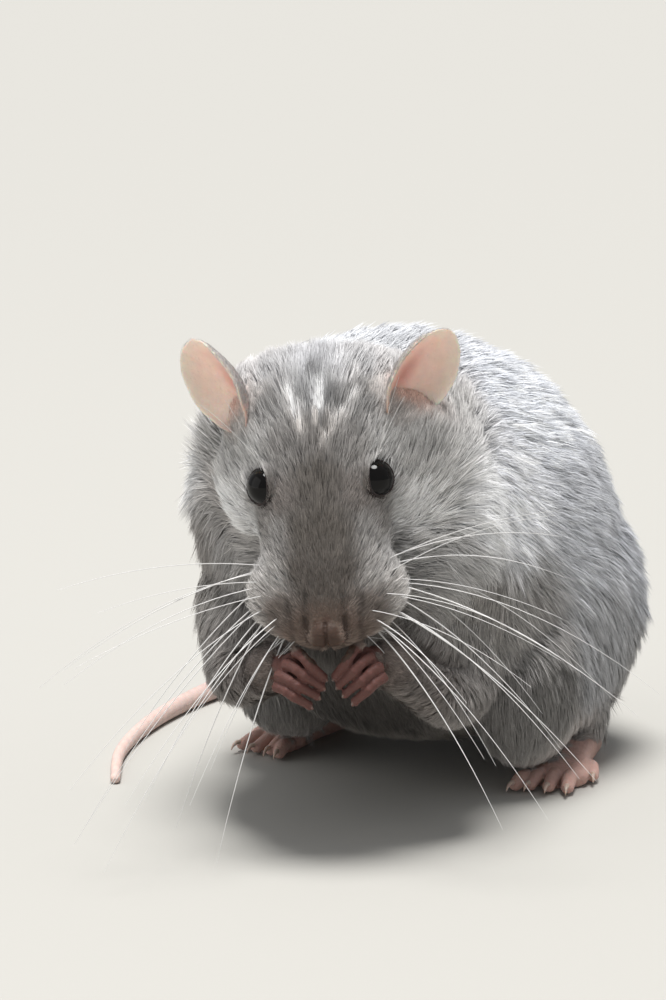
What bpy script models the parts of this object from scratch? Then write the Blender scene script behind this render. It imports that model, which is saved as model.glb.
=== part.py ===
# A life-size grey pet rat, hunched on its hind feet with both hands at its mouth.
# The body faces -Y, its left side is +X and the floor is z = 0. Sizes are in millimetres, and MM turns
# them into metres where a mesh is made. The outline is that of the coat, not of the bare skin.

import math

import bmesh
import bpy
import numpy as np
from mathutils import Matrix, Vector

MM = 0.001
GAP = 0.3  # clearance that touching pieces keep
LEAST_LEFT = {"UNION": 0.98, "DIFFERENCE": 0.15, "INTERSECT": 0.002}  # share of the volume that a cut keeps
LEFT, RIGHT = 1, -1

# The head hangs from the midpoint between the eyes. It points down and to the rat's left, and is
# tilted about the level direction in which the rat faces its viewer.
EYE_MID = (10.9, -58.6, 76.0)
HEAD_YAW = 22.0
HEAD_PITCH = 54.0
HEAD_TILT = 5.0
FACING_YAW = 27.0

EYE_RADIUS = 3.9
EYE_APART = 21.7
EYE_RISE = 0.8
EYE_LOOK = (0.22, 0.70, 0.68)
LID_THICK = 0.65
LID_OPENING = (3.6, 3.05)  # half length and half height of the slit

EAR_ROOT = (-12.0, 14.8, 2.4)
EAR_RISE_DIRECTION = (-0.76, 0.54, 0.40)
EAR_SWING = 0.10  # both ears swing this share toward the rat's left
EAR_FACING = (0.42, 0.66, 0.52)
EAR_LENGTH = 21.5
EAR_HALF_WIDTH = 7.3
EAR_CUP = 3.6
EAR_THICK = 1.1

TAIL_ROOT_RADIUS = 5.2
TAIL_TIP_RADIUS = 1.1
TAIL_SIDES = 10
TAIL_LENGTHS = 6

FOOT_LENGTH = 27.0  # heel to the root of the toes
FOOT_SPLAY = 9.0
HEEL = (30.5, 37.0)
# across, back from the root of the toes, length, turn
TOES = ((-5.4, 8.4, 7.5, -16), (-2.9, 1.5, 11.5, -7), (0.0, 2.5, 12.6, 0), (2.9, 1.5, 11.6, 7),
        (5.2, -3.5, 8.0, 17))

HANDS_MEET = (17.4, -67.2, 38.0)
HANDS_SPREAD = 0.9  # how far apart the hands are held, as a share of a loose hold

WHISKER_ROOT = 0.42  # radius where it leaves the pad
WHISKER_TIP = 0.16
WHISKER_ROWS = 4
WHISKER_COLUMNS = 4
WHISKER_LENGTHS = (63.0, 30.0)  # from the back of the pad to its front
WHISKER_SAG = 0.16

COLOURS = {
    "fur": ((0.52, 0.51, 0.50), 0.85),
    "bare_skin": ((0.80, 0.50, 0.45), 0.55),
    "eye": ((0.010, 0.008, 0.010), 0.06),
    "tail_skin": ((0.66, 0.50, 0.46), 0.60),
    "ear_skin": ((0.82, 0.58, 0.50), 0.55),
}


def clear_scene():
    for obj in list(bpy.data.objects):
        bpy.data.objects.remove(obj)


def new_collection(name):
    collection = bpy.data.collections.new(name)
    bpy.context.scene.collection.children.link(collection)
    return collection


def material(name):
    found = bpy.data.materials.get(name)
    if found:
        return found
    (red, green, blue), roughness = COLOURS[name]
    made = bpy.data.materials.new(name)
    made.use_nodes = True
    shader = made.node_tree.nodes["Principled BSDF"]
    shader.inputs["Base Color"].default_value = (red, green, blue, 1.0)
    shader.inputs["Roughness"].default_value = roughness
    shader.inputs["Metallic"].default_value = 0.0
    return made


def head_matrix():
    """The head's own axes: forward along the snout, left, and up through the crown."""
    yaw, pitch, facing = (math.radians(a) for a in (HEAD_YAW, HEAD_PITCH, FACING_YAW))
    forward = Vector((math.cos(pitch) * math.sin(yaw), -math.cos(pitch) * math.cos(yaw), -math.sin(pitch)))
    left = Vector((math.cos(yaw), math.sin(yaw), 0.0))
    turned = Matrix((forward, left, forward.cross(left))).transposed().to_4x4()
    tilt = Matrix.Rotation(math.radians(HEAD_TILT), 4, Vector((math.sin(facing), -math.cos(facing), 0.0)))
    return Matrix.Translation(EYE_MID) @ tilt @ turned


def spline(rows, count):
    """A smooth curve through the rows of numbers, whose first three are a place."""
    rows = np.array(rows, float)
    steps = np.linalg.norm(np.diff(rows[:, :3], axis=0), axis=1)
    knots = np.concatenate([[0.0], np.cumsum(steps)])
    slopes = np.gradient(rows, knots, axis=0)
    at = np.linspace(0.0, knots[-1], count)
    i = np.clip(np.searchsorted(knots, at, side="right") - 1, 0, len(knots) - 2)
    span = (knots[i + 1] - knots[i])[:, None]
    t = (at - knots[i])[:, None] / span
    near = (2 * t**3 - 3 * t**2 + 1) * rows[i] + (t**3 - 2 * t**2 + t) * span * slopes[i]
    far = (3 * t**2 - 2 * t**3) * rows[i + 1] + (t**3 - t**2) * span * slopes[i + 1]
    return near + far


def ring_points(row, side, up, sides, squareness, first_turn):
    """One closed section: half width, rise above its middle and drop below it."""
    half_width, rise, drop = row[3:6]
    turn = first_turn + np.linspace(0.0, 2 * math.pi, sides, endpoint=False)
    c, s = np.cos(turn), np.sin(turn)
    power = 2.0 / squareness
    across = half_width * np.sign(c) * np.abs(c) ** power
    above = np.where(s > 0, rise, drop) * np.sign(s) * np.abs(s) ** power
    return row[:3] + across[:, None] * side + above[:, None] * up


def mesh_object(name, points, faces, frame=None):
    bm = bmesh.new()
    verts = [bm.verts.new(Vector(p) * MM) for p in points]
    for face in faces:
        bm.faces.new([verts[i] for i in face])
    bmesh.ops.recalc_face_normals(bm, faces=bm.faces)
    mesh = bpy.data.meshes.new(name)
    bm.to_mesh(mesh)
    bm.free()
    if frame is not None:
        mesh.transform(in_metres(frame))
    obj = bpy.data.objects.new(name, mesh)
    workshop.objects.link(obj)
    return obj


def in_metres(frame):
    scaled = frame.copy()
    scaled.translation = frame.translation * MM
    return scaled


def loft(name, rows, rings=28, sides=24, axes=None, squareness=2.0, frame=None, first_turn=0.0):
    """A closed skin through sections along a path. With axes the sections stay square to them,
    and without they turn with the path."""
    rows = spline(rows, rings)
    points = []
    tangents = np.gradient(rows[:, :3], axis=0)
    for row, tangent in zip(rows, tangents):
        if axes:
            side, up = (np.array(a, float) for a in axes)
        else:
            side = np.cross(tangent, (0.0, 0.0, 1.0))
            side /= np.linalg.norm(side)
            up = np.cross(side, tangent)
            up /= np.linalg.norm(up)
        points.extend(ring_points(row, side, up, sides, squareness, first_turn))
    faces = []
    for r in range(rings - 1):
        for k in range(sides):
            after = (k + 1) % sides
            a, b = r * sides + k, r * sides + after
            faces.append((a, b, b + sides, a + sides))
    for end, row in ((0, rows[0]), ((rings - 1) * sides, rows[-1])):
        points.append(row[:3])
        pole = len(points) - 1
        faces.extend((end + k, end + (k + 1) % sides, pole) for k in range(sides))
    return mesh_object(name, points, faces, frame)


def tube(name, path, radii, rings=14, sides=12, frame=None):
    """A round, tapering limb along a path, with rounded ends."""
    rows = [(*p, r, r, r) for p, r in zip(path, radii)]
    return loft(name, rows, rings, sides, frame=frame)


def ellipsoid(name, centre, radii, turn=(0.0, 0.0, 0.0), frame=None, segments=32):
    bm = bmesh.new()
    bmesh.ops.create_uvsphere(bm, u_segments=segments, v_segments=segments // 2, radius=1.0)
    place = Matrix.Translation(centre)
    for axis, degrees in zip("XYZ", turn):
        place = place @ Matrix.Rotation(math.radians(degrees), 4, axis)
    place = place @ Matrix.Diagonal((*radii, 1.0))
    if frame is not None:
        place = frame @ place
    bm.transform(Matrix.Scale(MM, 4) @ place)
    mesh = bpy.data.meshes.new(name)
    bm.to_mesh(mesh)
    bm.free()
    obj = bpy.data.objects.new(name, mesh)
    workshop.objects.link(obj)
    return obj


def block(name, low, high, frame=None):
    bm = bmesh.new()
    bmesh.ops.create_cube(bm, size=1.0)
    low, high = Vector(low), Vector(high)
    size = high - low
    place = Matrix.Translation((low + high) / 2) @ Matrix.Diagonal((*size, 1.0))
    if frame is not None:
        place = frame @ place
    bm.transform(Matrix.Scale(MM, 4) @ place)
    mesh = bpy.data.meshes.new(name)
    bm.to_mesh(mesh)
    bm.free()
    obj = bpy.data.objects.new(name, mesh)
    workshop.objects.link(obj)
    return obj


def settle(obj):
    """Turns the object's modifiers into plain mesh."""
    bpy.context.view_layer.update()
    graph = bpy.context.evaluated_depsgraph_get()
    made = bpy.data.meshes.new_from_object(obj.evaluated_get(graph))
    obj.modifiers.clear()
    obj.data = made
    return obj


def copy_of(obj, name):
    twin = bpy.data.objects.new(name, obj.data.copy())
    workshop.objects.link(twin)
    return twin


def discard(*objs):
    for obj in objs:
        bpy.data.objects.remove(obj)


def keep_largest(obj):
    """Drops loose scraps and sealed hollows: only the surface with the most volume stays."""
    bm = bmesh.new()
    bm.from_mesh(obj.data)
    unseen = set(bm.faces)
    groups = []
    while unseen:
        edge_of_search = [unseen.pop()]
        group = list(edge_of_search)
        while edge_of_search:
            face = edge_of_search.pop()
            for edge in face.edges:
                for other in edge.link_faces:
                    if other in unseen:
                        unseen.remove(other)
                        edge_of_search.append(other)
                        group.append(other)
        groups.append(group)
    if len(groups) > 1:
        def volume(group):
            origin = group[0].verts[0].co
            total = 0.0
            for face in group:
                corners = [v.co - origin for v in face.verts]
                for k in range(1, len(corners) - 1):
                    total += corners[0].dot(corners[k].cross(corners[k + 1]))
            return total
        groups.sort(key=volume)
        spare = [face for group in groups[:-1] for face in group]
        bmesh.ops.delete(bm, geom=spare, context="FACES")
    bm.to_mesh(obj.data)
    bm.free()
    return obj


def volume_of(obj):
    bm = bmesh.new()
    bm.from_mesh(obj.data)
    volume = bm.calc_volume(signed=True) / MM**3
    closed = all(edge.is_manifold for edge in bm.edges)
    bm.free()
    return volume if closed else 0.0


def boolean(obj, operation, operand):
    """Cuts with one object, or with a collection of them. A result that has lost most of the object
    comes from a solver that failed, and the next solver then takes its place."""
    before = obj.data.copy()
    least = LEAST_LEFT[operation] * volume_of(obj)
    for solver in ("EXACT", "MANIFOLD"):
        step = obj.modifiers.new(operation.lower(), "BOOLEAN")
        step.operation = operation
        step.solver = solver
        if isinstance(operand, bpy.types.Collection):
            step.operand_type = "COLLECTION"
            step.collection = operand
        else:
            step.object = operand
        settle(obj)
        keep_largest(obj)
        if volume_of(obj) > least:
            return obj
        obj.data = before.copy()
    raise RuntimeError(f"no solver could cut {obj.name}")


def join_all(obj, others):
    """One union of the object with closed pieces, which are then removed."""
    pieces = new_collection("pieces_to_join")
    for other in others:
        workshop.objects.unlink(other)
        pieces.objects.link(other)
    boolean(obj, "UNION", pieces)
    discard(*others)
    bpy.data.collections.remove(pieces)
    return obj


def fuse(name, parts, voxel, smoothing, triangles):
    """Overlapping forms become one soft body: joined, remeshed, smoothed and thinned out."""
    bm = bmesh.new()
    for part in parts:
        bm.from_mesh(part.data)
    mesh = bpy.data.meshes.new(name)
    bm.to_mesh(mesh)
    bm.free()
    obj = bpy.data.objects.new(name, mesh)
    workshop.objects.link(obj)
    discard(*parts)
    remesh = obj.modifiers.new("fuse", "REMESH")
    remesh.mode = "VOXEL"
    remesh.voxel_size = voxel * MM
    soften = obj.modifiers.new("soften", "SMOOTH")
    soften.factor = 0.5
    soften.iterations = smoothing
    settle(obj)
    count = sum(len(p.vertices) - 2 for p in obj.data.polygons)
    thin = obj.modifiers.new("thin", "DECIMATE")
    thin.ratio = min(1.0, triangles / count)
    thin.use_collapse_triangulate = True
    settle(obj)
    return keep_largest(obj)


def swollen(obj, by=GAP):
    """A copy of the object whose surface stands out by the gap."""
    twin = copy_of(obj, obj.name + "_swollen")
    step = twin.modifiers.new("swell", "DISPLACE")
    step.strength = by * MM
    step.mid_level = 0.0
    return settle(twin)


def part_off(whole, name, region):
    """Cuts the piece that lies inside the region out of the whole, with the gap round it."""
    piece = copy_of(whole, name)
    inner, outer = region(0.0), region(GAP)
    boolean(piece, "INTERSECT", inner)
    boolean(whole, "DIFFERENCE", outer)
    discard(inner, outer)
    return piece


def cut_clear(obj, *others):
    """Trims the object back to the gap from what it grows out of."""
    for other in others:
        twin = swollen(other)
        boolean(obj, "DIFFERENCE", twin)
        discard(twin)
    return obj


def trunk_forms():
    """Torso, from the rump to the base of the neck, in upright sections."""
    # y, sideways shift, widest height, half width, top, bottom
    stations = {
        "rump_end": (71.5, 0.0, 26.0, 3.0, 30.0, 21.0),
        "rump": (68.0, 0.0, 28.0, 14.0, 45.0, 13.0),
        "buttocks": (60.0, 0.0, 32.0, 26.0, 65.0, 7.5),
        "hips": (48.0, 0.0, 36.0, 35.0, 81.0, 5.0),
        "loin": (33.0, 0.0, 41.0, 39.5, 92.0, 4.5),
        "waist": (16.0, 0.0, 45.0, 40.5, 98.0, 5.5),
        "belly": (0.0, 0.3, 49.0, 38.5, 100.4, 8.5),
        "ribs": (-15.0, 1.5, 54.0, 36.0, 100.6, 14.0),
        "shoulders": (-29.0, 3.0, 60.0, 35.0, 100.2, 24.0),
        "neck_root": (-40.0, 5.0, 68.0, 34.0, 99.6, 36.0),
        "neck": (-48.5, 6.5, 73.0, 28.5, 95.5, 52.0),
        "neck_end": (-54.5, 8.0, 77.0, 12.0, 87.0, 67.0),
    }
    rows = [(x, y, z, half, top - z, z - bottom) for y, x, z, half, top, bottom in stations.values()]
    forms = [loft("trunk", rows, rings=44, sides=40, axes=((1, 0, 0), (0, 0, 1)), squareness=2.15)]
    for side in (LEFT, RIGHT):
        forms.append(ellipsoid("haunch", (side * 26.5, 25.0, 36.0), (16.5, 32.0, 30.0),
                               turn=(-14, 0, side * -6)))
        forms.append(ellipsoid("knee", (side * 28.5, 8.0, 27.0), (13.5, 22.5, 22.5), turn=(0, 0, side * 5)))
        forms.append(ellipsoid("upper_arm", (3 + side * 23.5, -31.0, 47.0), (10.0, 13.5, 21.0),
                               turn=(-16, 0, 0)))
    return forms


def head_forms(head):
    """Skull, cheeks, snout and lips, in sections square to the head's own axis."""
    # forward, widest height, half width, top, bottom
    stations = {
        "nape": (-38.0, -16.0, 11.0, -10.5, -24.0),
        "occiput": (-30.0, -10.0, 19.5, 2.0, -22.0),
        "crown": (-21.0, -6.5, 21.4, 8.2, -20.0),
        "temples": (-11.0, -5.8, 20.0, 9.0, -18.2),
        "orbits": (-3.0, -5.8, 17.0, 7.6, -17.0),
        "brow": (5.0, -6.2, 14.2, 5.2, -15.8),
        "bridge": (13.0, -7.0, 12.7, 2.8, -14.8),
        "pads": (21.0, -8.0, 12.6, 0.6, -14.2),
        "lips": (26.5, -8.4, 10.6, -1.6, -13.6),
        "nose": (30.4, -8.2, 7.4, -3.6, -12.2),
        "nose_end": (32.2, -8.0, 2.4, -6.2, -10.2),
    }
    rows = [(f, 0.0, z, half, top - z, z - bottom) for f, z, half, top, bottom in stations.values()]
    forms = [loft("skull", rows, rings=44, sides=36, axes=((0, 1, 0), (0, 0, 1)), squareness=2.1, frame=head)]
    for side in (LEFT, RIGHT):
        forms.append(ellipsoid("cheek", (-8.0, side * 13.0, -8.5), (15.0, 9.2, 10.0), frame=head))
        forms.append(ellipsoid("whisker_pad", (20.0, side * 7.0, -8.2), (9.4, 8.1, 6.9),
                               turn=(0, 8, side * -8), frame=head))
        forms.append(ellipsoid("ear_root", (-13.5, side * 13.6, 1.2), (6.5, 5.0, 4.6), frame=head))
        lip = ((5.0, side * 10.5, -11.6), (13.0, side * 11.0, -13.4), (21.0, side * 9.0, -13.8),
               (27.0, side * 4.2, -12.6))
        forms.append(tube("lip", lip, (1.4, 2.2, 2.4, 1.8), rings=10, sides=12, frame=head))
    forms.append(ellipsoid("chin", (13.0, 0.0, -14.6), (10.5, 7.2, 4.6), turn=(0, -6, 0), frame=head))
    return forms


def eye_place(side):
    return (0.0, side * EYE_APART / 2, EYE_RISE)


def shape_eye(head_piece, head, side, name):
    """A lid that stands round the eyeball, the socket with the slit that opens it, and the ball inside."""
    centre = eye_place(side)
    look = Vector((EYE_LOOK[0], side * EYE_LOOK[1], EYE_LOOK[2])).normalized()
    lid = ellipsoid("lid", centre, (EYE_RADIUS + LID_THICK,) * 3, frame=head, segments=20)
    join_all(head_piece, [lid])
    socket = ellipsoid("socket", centre, (EYE_RADIUS + GAP,) * 3, frame=head, segments=24)
    along = Vector((1.0, 0.0, -0.25))
    across = look.cross(along).normalized()
    along = across.cross(look).normalized()
    aim = head @ Matrix.Translation(centre) @ Matrix((along, across, look)).transposed().to_4x4()
    slit_rows = [(0.0, 0.0, reach, *([LID_OPENING[0] * grow] + [LID_OPENING[1] * grow] * 2))
                 for reach, grow in ((1.5, 0.9), (3.0, 1.0), (6.5, 1.35))]
    slit = loft("slit", slit_rows, rings=4, sides=20, axes=((1, 0, 0), (0, 1, 0)), frame=aim)
    join_all(socket, [slit])
    boolean(head_piece, "DIFFERENCE", socket)
    discard(socket)
    return ellipsoid(name, centre, (EYE_RADIUS,) * 3, frame=head, segments=16)


def shape_ear(head, side, name):
    """A thin cupped dish, deepest by its root, with a rolled front edge."""
    rise = Vector(EAR_RISE_DIRECTION) * Vector((1, side, 1)) + Vector((0, EAR_SWING, 0))
    rise.normalize()
    facing = Vector((EAR_FACING[0], side * EAR_FACING[1], EAR_FACING[2]))
    facing = (facing - rise * facing.dot(rise)).normalized()
    across = rise.cross(facing)
    root = Vector((EAR_ROOT[0], side * EAR_ROOT[1], EAR_ROOT[2]))
    middle = EAR_LENGTH * 0.5
    rings, spokes = 4, 20
    points, faces = [], []
    for ring in range(rings + 1):
        out = ring / rings
        for spoke in range(spokes if ring else 1):
            turn = 2 * math.pi * spoke / spokes
            up_part, side_part = math.cos(turn), math.sin(turn)
            narrow = 1.0 - 0.18 * max(0.0, -up_part) ** 1.5
            high = middle + (EAR_LENGTH * 0.5) * up_part * out
            wide = EAR_HALF_WIDTH * side_part * out * narrow
            cup = -EAR_CUP * (1.0 - out**2.2) * (1.0 - 0.35 * up_part * out)
            curl = 1.2 * out**3 * abs(side_part)
            points.append(root + rise * high + across * wide + facing * (cup + curl))
    for spoke in range(spokes):
        after = (spoke + 1) % spokes
        faces.append((0, 1 + spoke, 1 + after))
        for ring in range(rings - 1):
            a = 1 + ring * spokes
            b = a + spokes
            faces.append((a + spoke, b + spoke, b + after, a + after))
    dish = mesh_object(name, points, faces, head)
    wall = dish.modifiers.new("wall", "SOLIDIFY")
    wall.thickness = EAR_THICK * MM
    wall.offset = 0.0
    wall.use_even_offset = True
    settle(dish)
    fix_normals(dish)
    return dish


def fix_normals(obj):
    bm = bmesh.new()
    bm.from_mesh(obj.data)
    bmesh.ops.recalc_face_normals(bm, faces=bm.faces)
    bm.to_mesh(obj.data)
    bm.free()


def whisker_curve(side, row, column):
    """Root, heading and length of one whisker on its pad, in the head's axes."""
    down = row / (WHISKER_ROWS - 1)
    ahead = column / (WHISKER_COLUMNS - 1)
    root = Vector((15.2 + 9.3 * ahead - 0.4 * down, side * (11.8 - 2.6 * ahead - 1.0 * down),
                   -5.4 - 6.6 * down))
    heading = Vector((-0.40 + 0.89 * ahead + 0.62 * down + 0.12 * down * ahead, side * 1.0,
                      0.42 - 0.85 * down + 0.38 * down * ahead))
    length = WHISKER_LENGTHS[0] + (WHISKER_LENGTHS[1] - WHISKER_LENGTHS[0]) * ahead - 9.0 * abs(down - 0.4)
    return root, heading.normalized(), length


def shape_whiskers(head, side):
    """Rows of tapering whiskers, each bending down under its own weight."""
    made = []
    fall = head.to_3x3().inverted() @ Vector((0, 0, -1))
    for row in range(WHISKER_ROWS):
        for column in range(WHISKER_COLUMNS):
            root, heading, length = whisker_curve(side, row, column)
            rows = []
            for step in range(6):
                along = step / 5
                reach = -1.6 + (length + 1.6) * along
                sag = WHISKER_SAG * length * along**2.2
                place = root + heading * reach + fall * sag
                radius = WHISKER_ROOT + (WHISKER_TIP - WHISKER_ROOT) * along
                rows.append((*place, radius, radius, radius))
            made.append(loft("whisker", rows, rings=5, sides=3, frame=head))
    return made


def tail_path():
    """The tail's centre line and radius: down from the rump, then along the floor round the right side."""
    # x, y, then how far its middle is lifted off where it would lie
    route = ((0.0, 58.0, 18.0), (-0.5, 70.0, 11.0), (-5.0, 84.0, 2.5), (-17.0, 95.0, 0.0),
             (-34.0, 98.0, 0.0), (-51.0, 90.0, 0.0), (-63.0, 74.0, 0.0), (-69.0, 52.0, 0.0),
             (-70.5, 28.0, 0.0), (-68.0, 5.0, 0.0), (-62.0, -16.0, 0.0), (-52.0, -35.0, 0.0))
    line = spline(route, 43)
    steps = np.linalg.norm(np.diff(line, axis=0), axis=1)
    share = np.concatenate([[0.0], np.cumsum(steps)]) / steps.sum()
    radius = TAIL_ROOT_RADIUS + (TAIL_TIP_RADIUS - TAIL_ROOT_RADIUS) * share**0.85
    flat = math.cos(math.pi / TAIL_SIDES)
    line[:, 2] = np.maximum(line[:, 2], 0.0) + radius * flat
    return line, radius


def shape_tail():
    line, radius = tail_path()
    tangents = np.gradient(line, axis=0)
    tangents /= np.linalg.norm(tangents, axis=1)[:, None]
    steps = len(line) - 1
    lengths = []
    for k in range(TAIL_LENGTHS):
        first, last = steps * k // TAIL_LENGTHS, steps * (k + 1) // TAIL_LENGTHS
        centre = line[first:last + 1].copy()
        size = radius[first:last + 1].copy()
        way = tangents[first:last + 1]
        if k:
            centre[0] += way[0] * GAP
        if k == TAIL_LENGTHS - 1:
            centre = np.vstack([centre, centre[-1] + way[-1] * TAIL_TIP_RADIUS])
            size = np.append(size, 0.55 * size[-1])
            way = np.vstack([way, way[-1]])
            centre[-1][2] = size[-1] * math.cos(math.pi / TAIL_SIDES)
        rows = [(*c, r, r, r) for c, r in zip(centre, size)]
        lengths.append(level_loft(f"tail_{k + 1}", rows, way))
    return lengths


def level_loft(name, rows, tangents):
    """A tail length whose sections stand upright, with a flat side down."""
    points, faces = [], []
    rows = np.array(rows)
    first_turn = -math.pi / 2 + math.pi / TAIL_SIDES
    up = np.array((0.0, 0.0, 1.0))
    for row, tangent in zip(rows, tangents):
        side = np.cross(tangent, up)
        side /= np.linalg.norm(side)
        points.extend(ring_points(row, side, up, TAIL_SIDES, 2.0, first_turn))
    sides = TAIL_SIDES
    for r in range(len(rows) - 1):
        for k in range(sides):
            a, b = r * sides + k, r * sides + (k + 1) % sides
            faces.append((a, b, b + sides, a + sides))
    faces.append(tuple(range(sides)))
    faces.append(tuple((len(rows) - 1) * sides + k for k in range(sides)))
    return mesh_object(name, points, faces)


def shape_foot(side, name):
    """A long flat hind foot with five clawed toes, on the floor."""
    splay = Matrix.Rotation(math.radians(side * FOOT_SPLAY), 4, "Z")
    place = Matrix.Translation((side * HEEL[0], HEEL[1], 0.0)) @ splay
    # place, half width, rise and drop of each section, from the heel to the root of the toes
    sole = [(0.0, 3.2, 3.4, 1.0, 1.0, 1.2), (0.0, 2.0, 3.4, 2.9, 2.4, 3.2),
            (0.0, -1.5, 3.6, 3.6, 3.0, 4.2), (0.0, -9.0, 3.6, 4.1, 3.2, 4.4),
            (0.0, -18.0, 3.4, 5.0, 3.4, 4.2), (0.0, -25.0, 2.8, 6.6, 2.8, 3.6),
            (0.0, -29.0, 2.4, 6.6, 2.0, 3.0), (0.0, -31.0, 2.2, 4.0, 1.2, 2.4)]
    parts = [loft("sole", sole, rings=22, sides=20, axes=((1, 0, 0), (0, 0, 1)), squareness=2.4, frame=place)]
    for across, back, length, turn in TOES:
        aim = math.radians(turn * side)
        root = Vector((side * -across, -FOOT_LENGTH + back, 1.9))
        way = Vector((-math.sin(aim), -math.cos(aim), 0.0))
        path = [root, root + way * length * 0.45 + Vector((0, 0, 0.9)), root + way * length * 0.85,
                root + way * length]
        parts.append(tube("toe", path, (2.0, 1.85, 1.55, 1.0), rings=9, sides=10, frame=place))
        claw_root = root + way * (length - 0.6) + Vector((0, 0, 0.5))
        claw = [claw_root, claw_root + way * 1.7 + Vector((0, 0, 0.1)),
                claw_root + way * 3.2 + Vector((0, 0, -1.0))]
        parts.append(tube("claw", claw, (0.8, 0.6, 0.3), rings=5, sides=8, frame=place))
    foot = fuse(name, parts, voxel=0.42, smoothing=1, triangles=660)
    floor = block("floor", (-200, -200, -50), (200, 200, 0))
    boolean(foot, "DIFFERENCE", floor)
    discard(floor)
    return foot


def hands_matrix():
    """Where the two hands meet under the chin: across, towards the front, and up."""
    yaw = math.radians(FACING_YAW)
    roll = math.radians(HEAD_TILT)
    front = Vector((math.sin(yaw), -math.cos(yaw), 0.0))
    left = Vector((math.cos(yaw), math.sin(yaw), 0.0))
    up = Vector((0, 0, 1))
    left, up = left * math.cos(roll) + up * math.sin(roll), up * math.cos(roll) - left * math.sin(roll)
    turned = Matrix((left, front, up)).transposed().to_4x4()
    return Matrix.Translation(HANDS_MEET) @ turned


def shape_hand(hands, side, name):
    """Palm, four bent fingers whose backs face forwards, a thumb stub and claws."""
    out = side * HANDS_SPREAD
    parts = [ellipsoid("palm", (out * 8.7, -2.2, 2.6), (2.8, 2.4, 4.3), turn=(0, side * -28, 0), frame=hands),
             ellipsoid("wrist", (out * 10.4, -4.2, 2.6), (2.7, 2.8, 3.2), frame=hands)]
    for finger in range(4):
        drop = finger / 3
        knuckle = Vector((out * (6.0 + 4.9 * math.sin(drop * math.pi / 2)), 0.2, 6.2 - 6.5 * drop))
        tip = Vector((out * (1.1 + drop + 2.8 * drop**2), -0.2, 0.9 - 5.4 * drop))
        middle = (knuckle + tip) / 2 + Vector((out * 0.5, 1.8, 0.7))
        parts.append(tube("finger", (knuckle, middle, tip), (1.12, 1.0, 0.74), rings=8, sides=10,
                          frame=hands))
        claw_tip = tip + Vector((side * 0.1, -1.4, -0.9))
        parts.append(tube("claw", (tip, (tip + claw_tip) / 2, claw_tip), (0.6, 0.5, 0.3), rings=4, sides=8,
                          frame=hands))
    parts.append(tube("thumb", ((out * 6.6, -3.0, 3.4), (out * 4.8, -3.2, 2.2), (out * 3.6, -2.8, 1.0)),
                      (1.3, 1.1, 0.8), rings=6, sides=8, frame=hands))
    return fuse(name, parts, voxel=0.34, smoothing=1, triangles=600)


def shape_foreleg(hands, side, name):
    """Upper arm root, elbow and forearm, up to the wrist."""
    wrist = hands @ Vector((side * HANDS_SPREAD * 11.6, -5.2, 3.4))
    elbow = Vector((31.0, -38.0, 31.0)) if side == LEFT else Vector((-14.5, -46.0, 33.0))
    shoulder = Vector((25.0, -28.0, 48.0)) if side == LEFT else Vector((-17.0, -34.0, 50.0))
    middle = (elbow + wrist) / 2 + Vector((0, 0, -1.5))
    near_hand = wrist + (wrist - elbow).normalized() * 1.4
    path = (shoulder, elbow, middle, wrist, near_hand)
    return fuse(name, [tube("arm", path, (9.5, 7.4, 5.6, 3.7, 2.6), rings=24, sides=18)], 0.8, 4, 320)


def finish(obj, name, finish_name):
    """Names the piece, moves it into the model and gives it its material."""
    obj.name = name
    obj.data.name = name
    workshop.objects.unlink(obj)
    model.objects.link(obj)
    obj.data.materials.clear()
    obj.data.materials.append(material(finish_name))
    obj.data.shade_smooth()
    obj.data.set_sharp_from_angle(angle=math.radians(50))


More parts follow.
